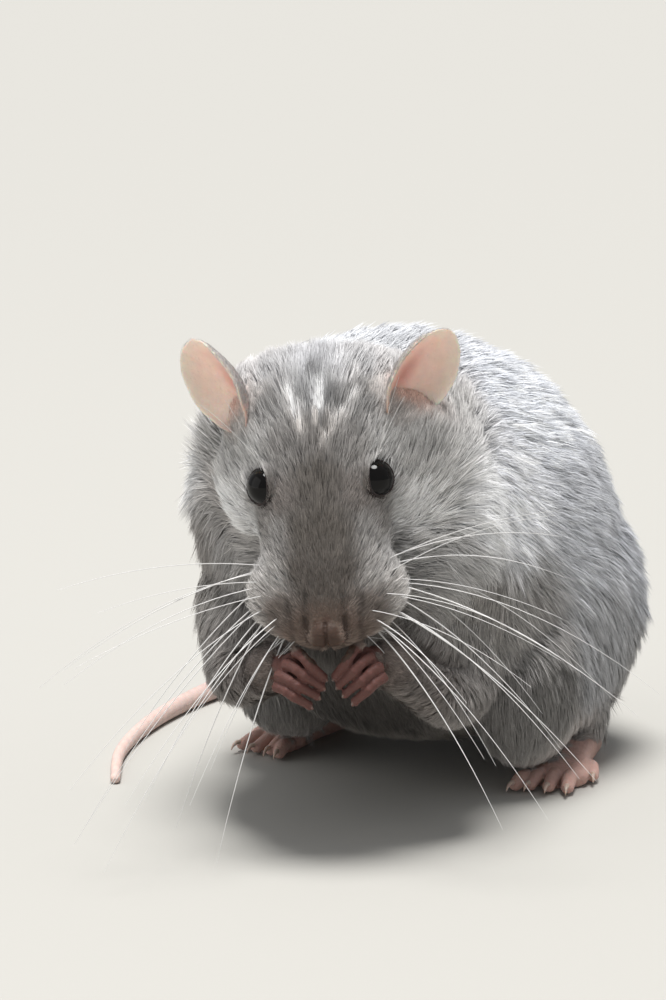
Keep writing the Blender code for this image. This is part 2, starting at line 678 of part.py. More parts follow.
def build():
    head = head_matrix()
    body = fuse("torso", trunk_forms() + head_forms(head), voxel=1.0, smoothing=12, triangles=3900)

    def head_region(grow):
        return ellipsoid("head_region", (7.0, 0.0, -3.0), (32.0 + grow, 32.0 + grow, 20.5 + grow), frame=head,
                         segments=24)

    def neck_region(grow):
        return ellipsoid("neck_region", (8.0, -52.0, 80.0), (38.0 + grow, 21.0 + grow, 27.0 + grow),
                         turn=(-24, 0, 6), segments=24)

    pieces = {}
    pieces["head"] = part_off(body, "head", head_region)
    pieces["neck"] = part_off(body, "neck", neck_region)
    for side, word in ((LEFT, "left"), (RIGHT, "right")):
        def thigh_region(grow):
            return ellipsoid("thigh_region", (side * 36.0, 19.0, 29.0),
                             (18.0 + grow, 37.0 + grow, 33.0 + grow), turn=(-14, 0, side * -6), segments=24)
        pieces[f"thigh_{word}"] = part_off(body, "thigh", thigh_region)
    pieces["torso"] = body

    skull = pieces["head"]

    def jaw_region(grow):
        return ellipsoid("jaw_region", (11.0, 0.0, -26.5), (15.5 + grow, 12.5 + grow, 12.0 + grow),
                         turn=(0, -4, 0), frame=head, segments=20)

    pieces["lower_jaw"] = part_off(skull, "lower_jaw", jaw_region)

    def nose_region(grow):
        return ellipsoid("nose_region", (30.8, 0.0, -4.6), (5.4 + grow, 4.1 + grow, 4.4 + grow), frame=head,
                         segments=16)

    pieces["nose"] = part_off(skull, "nose", nose_region)
    for side in (LEFT, RIGHT):
        nostril = ellipsoid("nostril", (32.2, side * 2.5, -5.8), (2.0, 0.7, 1.4),
                            turn=(side * 25, 0, side * 30), frame=head, segments=12)
        boolean(pieces["nose"], "DIFFERENCE", nostril)
        discard(nostril)

    for side, word in ((LEFT, "left"), (RIGHT, "right")):
        def pad_region(grow):
            return ellipsoid("pad_region", (20.0, side * 10.0, -9.5), (10.8 + grow, 8.9 + grow, 7.2 + grow),
                             turn=(0, 6, side * -6), frame=head, segments=18)
        pad = part_off(skull, "pad", pad_region)
        pieces[f"whisker_pad_{word}"] = join_all(pad, shape_whiskers(head, side))

    for side, word in ((LEFT, "left"), (RIGHT, "right")):
        pieces[f"eye_{word}"] = shape_eye(skull, head, side, f"eye_{word}")
        pieces[f"ear_{word}"] = cut_clear(shape_ear(head, side, f"ear_{word}"), skull)
        cut_clear(pieces[f"ear_{word}"], pieces["neck"])
        cut_clear(pieces[f"ear_{word}"], body)

    hands = hands_matrix()
    for side, word in ((LEFT, "left"), (RIGHT, "right")):
        arm = shape_foreleg(hands, side, f"foreleg_{word}")
        for near in (body, pieces["neck"], skull, pieces["lower_jaw"]):
            cut_clear(arm, near)
        hand = shape_hand(hands, side, f"hand_{word}")
        cut_clear(hand, arm)
        foot = shape_foot(side, f"foot_{word}")
        for near in (body, pieces[f"thigh_{word}"]):
            cut_clear(foot, near)
        pieces[f"foreleg_{word}"], pieces[f"hand_{word}"], pieces[f"foot_{word}"] = arm, hand, foot

    for length in shape_tail():
        pieces[length.name] = length
    cut_clear(pieces["tail_1"], body)

    for name, obj in pieces.items():
        if name.startswith("eye"):
            finish(obj, name, "eye")
        elif name.startswith("ear"):
            finish(obj, name, "ear_skin")
        elif name.startswith("tail"):
            finish(obj, name, "tail_skin")
        elif name.startswith(("hand", "foot", "nose")):
            finish(obj, name, "bare_skin")
        else:
            finish(obj, name, "fur")
    return list(pieces.values())


def centre_on_floor(objs):
    """Moves the model so that the middle of its footprint is the origin."""
    corners = np.array([v.co for obj in objs for v in obj.data.vertices])
    middle = (corners.min(axis=0) + corners.max(axis=0)) / 2
    for obj in objs:
        obj.location = (-middle[0], -middle[1], -corners[:, 2].min())
    print("model moved by", [round(float(-m) / MM, 3) for m in middle[:2]], "mm")


clear_scene()
model = new_collection("pet_rat")
workshop = new_collection("workshop")
made = build()
centre_on_floor(made)
bpy.data.collections.remove(workshop)
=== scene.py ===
# Dressed model of a grey pet rat that sits hunched with both hands at its mouth.
# Sizes in the dictionaries are millimetres; mm turns them into metres where a mesh is made.
import math

import bmesh
import bpy
import numpy as np
from mathutils import Matrix, Vector
from mathutils.bvhtree import BVHTree
from mathutils.kdtree import KDTree


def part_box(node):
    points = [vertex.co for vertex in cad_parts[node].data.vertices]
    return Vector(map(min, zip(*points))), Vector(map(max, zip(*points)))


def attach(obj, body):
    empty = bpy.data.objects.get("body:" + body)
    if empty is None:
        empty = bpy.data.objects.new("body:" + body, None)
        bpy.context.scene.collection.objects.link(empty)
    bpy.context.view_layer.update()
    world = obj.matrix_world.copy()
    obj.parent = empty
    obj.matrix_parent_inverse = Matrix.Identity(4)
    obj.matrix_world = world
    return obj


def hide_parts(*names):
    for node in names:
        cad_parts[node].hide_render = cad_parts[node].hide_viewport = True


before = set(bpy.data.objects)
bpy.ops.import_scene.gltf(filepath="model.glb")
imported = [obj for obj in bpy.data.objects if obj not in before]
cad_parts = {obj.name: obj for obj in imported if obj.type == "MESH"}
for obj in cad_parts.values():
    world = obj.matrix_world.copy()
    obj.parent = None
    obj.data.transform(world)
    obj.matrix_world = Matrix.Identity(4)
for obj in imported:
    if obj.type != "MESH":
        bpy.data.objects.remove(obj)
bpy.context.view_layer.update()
mm = 0.001
bothSides = (1, -1)  # the rat's left and right

# where things are, as in the solids

pose = dict(eyeMid=(10.9, -58.6, 76.0), yaw=22.0, pitch=54.0, tilt=5.0, facing=27.0,
            handsMeet=(17.4, -67.2, 38.0), handSpread=0.9)
eye = dict(radius=3.9, apart=21.7, rise=0.8, look=(0.22, 0.70, 0.68), slant=(1.0, 0.0, -0.25),
           opening=(3.5, 3.05))
shot = dict(azimuth=27.0, elevation=10.0, distance=600.0, lens=108.0, sensor=36.0, shift=(0.0125, -0.0155),
            near=0.01)  # the sensor is the long, upright side of the picture


def headAxes():  # forward along the snout, left, and up through the crown
    yaw, pitch, facing = (math.radians(pose[name]) for name in ("yaw", "pitch", "facing"))
    forward = Vector((math.cos(pitch) * math.sin(yaw), -math.cos(pitch) * math.cos(yaw), -math.sin(pitch)))
    left = Vector((math.cos(yaw), math.sin(yaw), 0.0))
    turned = Matrix((forward, left, forward.cross(left))).transposed().to_4x4()
    tilt = Matrix.Rotation(math.radians(pose["tilt"]), 4, Vector((math.sin(facing), -math.cos(facing), 0.0)))
    return Matrix.Translation(pose["eyeMid"]) @ tilt @ turned


def handAxes():  # across, towards the front, up
    facing, tilt = math.radians(pose["facing"]), math.radians(pose["tilt"])
    front = Vector((math.sin(facing), -math.cos(facing), 0.0))
    left, up = Vector((math.cos(facing), math.sin(facing), 0.0)), Vector((0, 0, 1))
    left, up = left * math.cos(tilt) + up * math.sin(tilt), up * math.cos(tilt) - left * math.sin(tilt)
    return Matrix.Translation(pose["handsMeet"]) @ Matrix((left, front, up)).transposed().to_4x4()


def mirrored(place, side):  # the same place or direction on the other side of the head
    return Vector((place[0], side * place[1], place[2]))


def eyePlace(side):
    return Vector((0.0, side * eye["apart"] / 2, eye["rise"]))


def towardsCamera():
    azimuth, elevation = math.radians(shot["azimuth"]), math.radians(shot["elevation"])
    return Vector((math.sin(azimuth) * math.cos(elevation), -math.cos(azimuth) * math.cos(elevation),
                   math.sin(elevation)))


eyeLow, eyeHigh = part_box("eye_left")
shift = (eyeLow + eyeHigh) / 2 / mm - headAxes() @ eyePlace(1)  # the solids stand centred on the floor
body = Matrix.Translation(shift)
head = body @ headAxes()
hands = body @ handAxes()

# forms: each is (points in mm, faces)


def spline(rows, count):
    rows = np.array(rows, float)
    knots = np.concatenate([[0.0], np.cumsum(np.linalg.norm(np.diff(rows[:, :3], axis=0), axis=1))])
    slopes = np.gradient(rows, knots, axis=0)
    at = np.linspace(0.0, knots[-1], count)
    i = np.clip(np.searchsorted(knots, at, side="right") - 1, 0, len(knots) - 2)
    span = (knots[i + 1] - knots[i])[:, None]
    t = (at - knots[i])[:, None] / span
    near = (2 * t**3 - 3 * t**2 + 1) * rows[i] + (t**3 - 2 * t**2 + t) * span * slopes[i]
    return near + (3 * t**2 - 2 * t**3) * rows[i + 1] + (t**3 - t**2) * span * slopes[i + 1]


def placed(points, place):
    turn = np.array(place.to_3x3())
    return np.asarray(points, float) @ turn.T + np.array(place.translation)


def sweep(points, rings, ringSides):  # closes a stack of rings into one skin, with a pole at each end
    faces = []
    for r in range(rings - 1):
        for k in range(ringSides):
            a, b = r * ringSides + k, r * ringSides + (k + 1) % ringSides
            faces.append((a, b, b + ringSides, a + ringSides))
    points = np.vstack([points, points[:ringSides].mean(axis=0), points[-ringSides:].mean(axis=0)])
    for start, pole in ((0, len(points) - 2), ((rings - 1) * ringSides, len(points) - 1)):
        faces.extend((start + k, start + (k + 1) % ringSides, pole) for k in range(ringSides))
    return points, faces


def loft(rows, rings=40, ringSides=40, axes=None, squareness=2.0, place=body):
    rows = spline(rows, rings)
    turn = np.linspace(0.0, 2 * math.pi, ringSides, endpoint=False)
    c, s = np.cos(turn), np.sin(turn)
    power = 2.0 / squareness
    points = []
    for row, tangent in zip(rows, np.gradient(rows[:, :3], axis=0)):
        if axes:
            side, up = (np.array(a, float) for a in axes)
        else:
            side = np.cross(tangent, (0.0, 0.0, 1.0))
            side /= np.linalg.norm(side)
            up = np.cross(side, tangent)
            up /= np.linalg.norm(up)
        across = row[3] * np.sign(c) * np.abs(c) ** power
        above = np.where(s > 0, row[4], row[5]) * np.sign(s) * np.abs(s) ** power
        points.append(row[:3] + across[:, None] * side + above[:, None] * up)
    points, faces = sweep(np.vstack(points), rings, ringSides)
    return placed(points, place), faces


def tube(path, radii, rings=20, ringSides=16, place=body):
    return loft([(*p, r, r, r) for p, r in zip(path, radii)], rings, ringSides, place=place)


def ball(centre, radii, turn=(0.0, 0.0, 0.0), place=body, segments=40):
    rings = segments // 2
    lean = np.linspace(0.0, math.pi, rings + 2)[1:-1]
    around = np.linspace(0.0, 2 * math.pi, segments, endpoint=False)
    points = np.array([(math.sin(a) * math.cos(b), math.sin(a) * math.sin(b), math.cos(a))
                       for a in lean for b in around])
    points, faces = sweep(points, rings, segments)
    points[-2], points[-1] = (0, 0, 1), (0, 0, -1)
    turned = Matrix.Translation(centre)
    for axis, degrees in zip("XYZ", turn):
        turned = turned @ Matrix.Rotation(math.radians(degrees), 4, axis)
    return placed(points * np.array(radii), place @ turned), faces


def reworked(mesh, *steps, sources=()):  # the mesh, or several put together in it, after some steps
    bm = bmesh.new()
    for source in sources or (mesh,):
        bm.from_mesh(source)
    for step in steps:
        step(bm)
    bm.to_mesh(mesh)
    bm.free()
    return mesh


def faceOutward(bm):
    bmesh.ops.recalc_face_normals(bm, faces=bm.faces)


def inTriangles(bm):
    bmesh.ops.triangulate(bm, faces=bm.faces)


def meshOf(name, forms):
    points, faces, base = [], [], 0
    for formPoints, formFaces in forms:
        points.append(formPoints * mm)
        faces.extend(tuple(i + base for i in face) for face in formFaces)
        base += len(formPoints)
    mesh = bpy.data.meshes.new(name)
    mesh.from_pydata(np.vstack(points).tolist(), [], faces)
    return reworked(mesh, faceOutward)


def objectOf(name, mesh):
    obj = bpy.data.objects.new(name, mesh)
    bpy.context.scene.collection.objects.link(obj)
    return obj


def settle(obj):  # turns the modifiers into plain mesh
    bpy.context.view_layer.update()
    made = bpy.data.meshes.new_from_object(obj.evaluated_get(bpy.context.evaluated_depsgraph_get()))
    obj.modifiers.clear()
    obj.data = made
    return obj


def fuse(name, mesh, voxel, smoothing, triangles=None):
    obj = objectOf(name, mesh)
    remesh = obj.modifiers.new("fuse", "REMESH")
    remesh.mode = "VOXEL"
    remesh.voxel_size = voxel * mm
    soften = obj.modifiers.new("soften", "SMOOTH")
    soften.factor = 0.5
    soften.iterations = smoothing
    settle(obj)
    if triangles:
        thin(obj, triangles)
    return obj


def thin(obj, triangles):
    lessen = obj.modifiers.new("thin", "DECIMATE")
    lessen.ratio = min(1.0, triangles / sum(len(p.vertices) - 2 for p in obj.data.polygons))
    lessen.use_collapse_triangulate = True
    return settle(obj)


def drop(obj):
    mesh = obj.data
    bpy.data.objects.remove(obj)
    bpy.data.meshes.remove(mesh)


def vertexArrays(mesh):
    points = np.empty(len(mesh.vertices) * 3)
    normals = np.empty(len(mesh.vertices) * 3)
    mesh.vertices.foreach_get("co", points)
    mesh.vertices.foreach_get("normal", normals)
    return points.reshape(-1, 3) / mm, normals.reshape(-1, 3)


def setPoints(mesh, points):
    mesh.vertices.foreach_set("co", (np.asarray(points) * mm).ravel())
    mesh.update()


def unit(v):
    return v / np.maximum(np.linalg.norm(v, axis=-1, keepdims=True), 1e-9)


def smoothStep(x):
    x = np.clip(x, 0.0, 1.0)
    return x * x * (3 - 2 * x)


# the body's outline, out to the tips of the coat

trunk = {  # y, sideways shift, widest height, half width, top, bottom
    "rumpEnd": (71.5, 0.0, 26.0, 3.0, 30.0, 21.0), "rump": (68.0, 0.0, 28.0, 14.0, 45.0, 13.0),
    "buttocks": (60.0, 0.0, 32.0, 26.0, 65.0, 7.5), "hips": (48.0, 0.0, 36.0, 35.0, 81.0, 5.0),
    "loin": (33.0, 0.0, 41.0, 39.5, 92.0, 4.5), "waist": (16.0, 0.0, 45.0, 40.5, 98.0, 5.5),
    "belly": (0.0, 0.3, 49.0, 38.5, 100.4, 8.5), "ribs": (-15.0, 1.5, 54.0, 36.0, 100.6, 14.0),
    "shoulders": (-29.0, 3.0, 60.0, 35.0, 100.2, 24.0), "neckRoot": (-40.0, 5.0, 68.0, 34.0, 99.6, 36.0),
    "neck": (-48.5, 6.5, 73.0, 28.5, 95.5, 52.0), "neckEnd": (-54.5, 8.0, 77.0, 12.0, 87.0, 67.0),
}
skull = {  # forward, widest height, half width, top, bottom
    "nape": (-38.0, -16.0, 11.0, -10.5, -24.0), "occiput": (-30.0, -10.0, 19.5, 2.0, -22.0),
    "crown": (-21.0, -6.5, 21.4, 8.2, -20.0), "temples": (-11.0, -5.8, 20.0, 9.0, -18.2),
    "orbits": (-3.0, -5.8, 17.0, 7.6, -17.0), "brow": (5.0, -6.2, 14.2, 5.2, -15.8),
    "bridge": (13.0, -7.0, 12.7, 2.8, -14.8), "pads": (21.0, -8.0, 12.6, 0.6, -14.2),
    "lips": (26.5, -8.4, 10.6, -1.6, -13.6), "nose": (30.4, -8.2, 7.4, -3.6, -12.2),
    "noseEnd": (32.2, -8.0, 2.4, -6.2, -10.2),
}


bulges = {  # on both sides: axes, centre, radii and turn on the left, and a shift that both sides share
    "thigh": ("body", (26.5, 25.0, 36.0), (16.5, 32.0, 30.0), (-14, 0, -6), 0.0),
    "knee": ("body", (28.5, 8.0, 27.0), (13.5, 22.5, 22.5), (0, 0, 5), 0.0),
    "shoulder": ("body", (23.5, -31.0, 47.0), (10.0, 13.5, 21.0), (-16, 0, 0), 3.0),
    "cheek": ("head", (-8.0, 13.0, -8.5), (15.0, 9.2, 10.0), (0, 0, 0), 0.0),
    "muzzle": ("head", (20.0, 7.3, -8.4), (9.6, 8.2, 7.0), (0, 8, -8), 0.0),
}
lip = dict(path=((5.0, 10.5, -11.6), (13.0, 11.0, -13.4), (21.0, 9.0, -13.8), (27.0, 4.2, -12.6)),
           radii=(1.4, 2.2, 2.4, 1.8))


def bulge(axes, centre, radii, turn, shared, side):
    x, y, z = centre
    turn = (turn[0], turn[1], side * turn[2])
    if axes == "head":
        return ball((x, side * y, z), radii, turn, head)
    return ball((side * x + shared, y, z), radii, turn)


def bodyForms():
    rows = [(x, y, z, half, top - z, z - bottom) for y, x, z, half, top, bottom in trunk.values()]
    forms = [loft(rows, 60, 60, axes=((1, 0, 0), (0, 0, 1)), squareness=2.15)]
    rows = [(f, 0.0, z, half, top - z, z - bottom) for f, z, half, top, bottom in skull.values()]
    forms.append(loft(rows, 60, 48, axes=((0, 1, 0), (0, 0, 1)), squareness=2.1, place=head))
    for side in bothSides:
        forms.extend(bulge(*row, side) for row in bulges.values())
        forms.append(tube([(f, side * out, up) for f, out, up in lip["path"]], lip["radii"], place=head))
    forms.append(ball((13.0, 0.0, -14.6), (10.5, 7.2, 4.6), (0, -6, 0), place=head))
    return forms


def armPath(side):
    wrist = body.inverted() @ hands @ Vector((side * pose["handSpread"] * 11.6, -5.2, 3.4))
    elbow = Vector((31.0, -38.0, 31.0)) if side > 0 else Vector((-14.5, -46.0, 33.0))
    shoulder = Vector((25.0, -28.0, 48.0)) if side > 0 else Vector((-17.0, -34.0, 50.0))
    forearm = (elbow + wrist) / 2 + Vector((0, 0, -1.5))
    return shoulder, elbow, forearm, wrist, wrist + (wrist - elbow).normalized() * 1.4


# how the coat lies, how long it is and its colour at named spots

# the last of these is the belly's cream coat darkened with painted shade, for the shadow under the body
smoke, silver, slate, shadedCream = (0.40, 0.39, 0.38), (0.36, 0.36, 0.365), (0.50, 0.51, 0.54), (0.22, 0.20, 0.18)
coatSpots = {  # axes, place, the way the hair lies, length, lift in radians, colour, which at some spots holds painted light or shade
    "noseTop": ("head", (29, 0, -2.5), (-1, 0, 0.4), 0.9, 0.40, (0.120, 0.086, 0.068)),
    "bridge": ("head", (22, 0, 0.5), (-1, 0, 0.15), 1.8, 0.40, (0.135, 0.118, 0.105)),
    "bridgeTop": ("head", (13, 0, 3), (-1, 0, 0.15), 2.8, 0.38, (0.15, 0.133, 0.118)),
    "bridgeEdge": ("head", (13, 4.6, 2.6), (-1, 0.1, 0.1), 2.8, 0.38, (0.155, 0.138, 0.122)),
    "bridgeSide": ("head", (12, 8.6, 0.8), (-1, 0.35, 0.1), 3.2, 0.46, (0.37, 0.355, 0.345)),
    "muzzleEdge": ("head", (20, 4.8, 0.2), (-1, 0.2, 0.1), 2.2, 0.42, (0.14, 0.122, 0.108)),
    "muzzleSide": ("head", (20, 9.0, -2.0), (-0.9, 0.6, 0.1), 3.4, 0.65, (0.48, 0.46, 0.445)),
    "betweenEyes": ("head", (4, 0, 6), (-1, 0, 0.15), 3.8, 0.40, (0.175, 0.158, 0.142)),
    "bandTop": ("head", (-5, 0, 8.2), (-1, 0, 0.1), 5.2, 0.42, (0.25, 0.235, 0.225)),
    "bandSide": ("head", (-4, 6.5, 6.5), (-1, 0.25, 0.05), 4.6, 0.42, (0.33, 0.315, 0.305)),
    "forehead": ("head", (-14, 0, 9), (-1, 0, 0.05), 7.6, 0.46, silver),
    "foreheadSide": ("head", (-12, 8, 7.5), (-1, 0.35, 0), 6.0, 0.44, (0.37, 0.36, 0.355)),
    "crown": ("head", (-22, 0, 7), (-1, 0, -0.25), 8.6, 0.48, (0.50, 0.50, 0.515)),
    "crownSide": ("head", (-21, 9, 6), (-1, 0.3, -0.2), 7.4, 0.48, (0.50, 0.495, 0.50)),
    "browSide": ("head", (6, 8.5, 4), (-0.9, 0.35, 0.2), 1.8, 0.32, (0.24, 0.215, 0.20)),
    "aboveEye": ("head", (-5, 13.5, 3.8), (-1, 0.4, 0.05), 3.8, 0.42, (0.58, 0.57, 0.56)),
    "underEye": ("head", (5, 17, -7), (-1, 0.4, -0.35), 4.4, 0.42, (0.92, 0.91, 0.90)),
    "inFrontOfEye": ("head", (9, 12.5, -1), (-1, 0.5, 0), 2.2, 0.32, (0.32, 0.30, 0.285)),
    "behindEye": ("head", (-6, 19.5, -1), (-1, 0.25, -0.1), 5.0, 0.42, (0.52, 0.51, 0.50)),
    "snoutSide": ("head", (15, 13, -5), (-1, 0.4, -0.1), 4.4, 0.6, (0.50, 0.485, 0.475)),
    "pad": ("head", (22, 13, -7), (-0.9, 0.6, -0.25), 4.0, 0.85, (0.60, 0.575, 0.555)),
    "padSpeckle": ("head", (26, 9.0, -3.5), (-0.9, 0.6, 0.0), 2.0, 0.5, (0.225, 0.19, 0.168)),
    "padFront": ("head", (30, 5.5, -7), (-0.6, 0.9, -0.1), 1.6, 0.5, (0.275, 0.212, 0.178)),
    "noseSide": ("head", (29.5, 5.0, -5.0), (-0.8, 0.6, 0.1), 1.0, 0.45, (0.170, 0.123, 0.100)),
    "padEdge": ("head", (21, 14, -11), (-0.8, 0.7, -0.6), 4.8, 0.90, (0.90, 0.88, 0.86)),
    "lipLow": ("head", (27, 8, -13), (-0.7, 0.5, -0.6), 2.4, 0.6, (0.46, 0.41, 0.38)),
    "cheek": ("head", (-2, 22.5, -8), (-1, 0.4, -0.35), 7.8, 0.52, (0.60, 0.59, 0.58)),
    "cheekFront": ("head", (7, 17, -12), (-1, 0.5, -0.4), 8.2, 0.85, (0.64, 0.63, 0.62)),
    "cheekFold": ("head", (13, 13.5, -11), (-0.6, 0.8, -0.3), 5.5, 0.80, (0.56, 0.55, 0.54)),
    "cheekRight": ("headRight", (2, -19.5, -12), (-1, -0.4, -0.35), 7.8, 0.60, (0.93, 0.92, 0.91)),
    "patchRight": ("headRight", (8, -16.0, -7.0), (-1, -0.4, -0.35), 4.6, 0.50, (0.95, 0.95, 0.95)),
    "patchOuter": ("headRight", (3, -20.0, -7.0), (-1, -0.4, -0.35), 5.4, 0.52, (0.95, 0.95, 0.95)),
    "cheekBack": ("head", (-15, 22, -8), (-1, 0.2, -0.4), 9.0, 0.56, (0.48, 0.47, 0.46)),
    "jowl": ("head", (-6, 15, -17), (-1, 0.25, -0.4), 7.0, 0.48, (0.52, 0.49, 0.47)),
    # chin and throat: coat darkened with painted shade, for the shadow under the bent head and between the
    # hands
    "chin": ("head", (14, 0, -19), (-1, 0, -0.2), 2.4, 0.40, (0.20, 0.18, 0.165)),
    "throat": ("head", (-3, 0, -20), (-1, 0, -0.3), 6.0, 0.45, (0.09, 0.08, 0.072)),
    "earRoot": ("head", (-13, 16, 3.5), (-0.9, 0.4, 0.2), 1.6, 0.30, (0.56, 0.53, 0.51)),
    "earInner": ("head", (-17, 13, 6), (-0.9, 0.3, 0.4), 2.4, 0.40, (0.56, 0.53, 0.51)),
    "earCup": ("head", (-17.5, 18.2, 3.8), (-0.9, 0.3, 0.3), 1.2, 0.30, (0.84, 0.60, 0.52)),
    "behindEar": ("head", (-24, 17, 3), (-0.9, 0.3, 0.1), 5.5, 0.50, (0.60, 0.59, 0.59)),
    "nape": ("body", (0, -33, 99), (0, 1, 0), 9.5, 0.55, (0.66, 0.67, 0.69)),
    # neckSide: silver coat lightened with painted light where the top light falls on the neck beside the
    # shoulder
    "neckSide": ("body", (33, -41, 72), (0.1, 0.8, -0.55), 10.0, 0.60, (0.93, 0.935, 0.95)),
    "neckFront": ("body", (24, -51, 62), (0.3, 0.5, -0.9), 9.0, 0.58, (0.44, 0.43, 0.425)),
    "rightShoulderFront": ("bodyRight", (-29, -46, 62), (-0.2, 0.6, -0.8), 8.5, 0.56, (0.34, 0.32, 0.305)),
    "rightShoulderLow": ("bodyRight", (-33, -30, 52), (-0.1, 0.7, -0.7), 8.5, 0.56, (0.34, 0.325, 0.31)),
    "withers": ("body", (0, -18, 101), (0, 1, 0), 10.0, 0.52, (0.64, 0.65, 0.675)),
    "back": ("body", (0, 8, 99), (0, 1, -0.05), 10.0, 0.48, (0.62, 0.63, 0.66)),
    "loin": ("body", (0, 36, 88), (0, 1, -0.5), 10.0, 0.48, slate),
    "rump": ("body", (0, 60, 60), (0, 0.4, -1), 10.0, 0.50, slate),
    "rumpLow": ("body", (0, 67, 28), (0, 0.3, -1), 8.0, 0.50, smoke),
    # shoulder and flankTop: silver coat lightened with painted light, the bright band where the top light
    # catches the shoulder and flank
    "shoulder": ("body", (33, -24, 70), (0.1, 0.85, -0.5), 10.0, 0.56, (0.90, 0.91, 0.95)),
    "flankTop": ("body", (28, 0, 88), (0.2, 0.95, -0.3), 10.5, 0.52, (0.84, 0.86, 0.91)),
    "flank": ("body", (39, 8, 60), (0, 0.9, -0.5), 10.5, 0.52, (0.60, 0.61, 0.64)),
    "flankRear": ("body", (36, 42, 50), (-0.1, 0.7, -0.7), 10.0, 0.50, slate),
    "flankLow": ("body", (38, -14, 42), (0, 0.7, -0.75), 9.5, 0.55, (0.36, 0.345, 0.335)),
    "thigh": ("body", (43, 16, 32), (0, 0.35, -1), 8.0, 0.48, (0.44, 0.44, 0.45)),
    "knee": ("body", (41, -8, 26), (0, 0.1, -1), 6.5, 0.45, (0.24, 0.23, 0.22)),
    "thighLow": ("body", (38, 10, 8), (0, 0.1, -1), 4.0, 0.45, (0.48, 0.45, 0.43)),
    "thighRear": ("body", (34, 44, 20), (0, 0.3, -1), 7.0, 0.45, smoke),
    # chest and chestLow: coat darkened with painted shade, for the shadow under the head and between the arms
    "chest": ("body", (0, -44, 50), (0, 0.15, -1), 8.0, 0.50, (0.075, 0.068, 0.062)),
    "chestLow": ("body", (0, -28, 26), (0, 0.6, -0.8), 8.0, 0.45, (0.080, 0.073, 0.067)),
    "belly": ("body", (0, -5, 9), (0, 1, -0.1), 7.0, 0.40, shadedCream),
    "bellyRear": ("body", (0, 35, 4), (0, 1, 0), 5.0, 0.30, shadedCream),
    "upperArm": ("body", (30, -33, 50), (0.1, -0.2, -1), 7.0, 0.50, (0.40, 0.38, 0.36)),
}
armSpots = {  # station on the arm, lie along it, lie downwards, length, lift, colour
    "elbow": (1, 0.0, 1.0, 4.0, 0.42, (0.30, 0.28, 0.265)),
    "forearm": (2, 0.8, 0.6, 3.0, 0.40, (0.25, 0.222, 0.205)),
    "wrist": (3, 1.0, 0.25, 1.4, 0.36, (0.22, 0.18, 0.16)),
}


def trunkShift(y):
    stations = sorted(trunk.values())
    return float(np.interp(y, [s[0] for s in stations], [s[1] for s in stations]))


def coatTable():
    rows = []
    for axes, place, lie, length, lift, colour in coatSpots.values():
        place, lie = Vector(place), Vector(lie)
        sideAxis = 1 if axes.startswith("head") else 0
        for side in bothSides if abs(place[sideAxis]) > 0.5 and not axes.endswith("Right") else (1,):
            at, way = place.copy(), lie.copy()
            at[sideAxis] *= side
            way[sideAxis] *= side
            if sideAxis == 0:
                at.x += trunkShift(at.y)
            matrix = head if sideAxis == 1 else body
            rows.append((*(matrix @ at), *(matrix.to_3x3() @ way).normalized(), length, lift, *colour))
    for side in bothSides:
        path = armPath(side)
        for station, along, down, length, lift, colour in armSpots.values():
            way = (path[station] - path[station - 1]).normalized() * along - Vector((0, 0, down))
            rows.append((*(body @ path[station]), *way.normalized(), length, lift, *colour))
    return np.array(rows)


spotTable = coatTable()


def coatAt(points):  # lie, length, lift and colour, blended from the nearest spots
    out = np.empty((len(points), 8))
    for start in range(0, len(points), 20000):
        part = points[start:start + 20000]
        far = ((part[:, None, :] - spotTable[None, :, :3]) ** 2).sum(axis=2)
        weight = (far + 6.0) ** -3.0
        weight /= weight.sum(axis=1, keepdims=True)
        out[start:start + 20000] = weight @ spotTable[:, 3:]
    return out[:, :3], out[:, 3], out[:, 4], out[:, 5:8]


# one skin for all the flesh, inside the outline by the coat's depth

# voxel, rounds of smoothing and triangles of each, and the skin's depth as a share of the coat's length
skinSizes = dict(outline=(0.85, 12), arms=(0.7, 4), flesh=(0.5, 3, 70000), hand=(0.20, 2, 13000),
                 foot=(0.26, 3, 12000), depth=0.28)
finer = dict(noseFrom=27.0, eyeReach=6.5, cuts=3)  # where the skin has finer faces
socket = dict(reach=3.5, rim=4.05, floor=3.4, edge=0.95)  # round an eyeball


def sunkBy(obj, share):
    points, normals = vertexArrays(obj.data)
    length = coatAt(points)[1]
    setPoints(obj.data, points - normals * (share * length)[:, None])
    return obj


def fingerLine(side, finger):
    out, lower = side * pose["handSpread"], finger / 3
    knuckle = Vector((out * (6.0 + 4.9 * math.sin(lower * math.pi / 2)), 0.2, 6.2 - 6.5 * lower))
    tip = Vector((out * (1.1 + lower + 2.8 * lower**2), -0.2, 0.9 - 5.4 * lower))
    return knuckle, (knuckle + tip) / 2 + Vector((out * 0.5, 1.8, 0.7)), tip


hand = dict(palm=(((8.7, -2.3, 2.6), (2.5, 2.2, 4.1), -28), ((10.2, -4.2, 2.6), (2.4, 2.6, 3.0), 0),
                  ((6.2, -2.5, 1.4), (2.6, 1.4, 4.0), -40)),  # centre, radii, turn
            fingerRadii=(1.20, 1.18, 1.06, 1.10, 0.95, 0.88), fingerEnd=(0.86, 0.78, 0.82),
            knuckle=1.12, thumb=((6.6, -3.0, 3.4), (4.8, -3.2, 2.2), (3.6, -2.8, 1.0)),
            thumbRadii=(1.2, 1.0, 0.75))


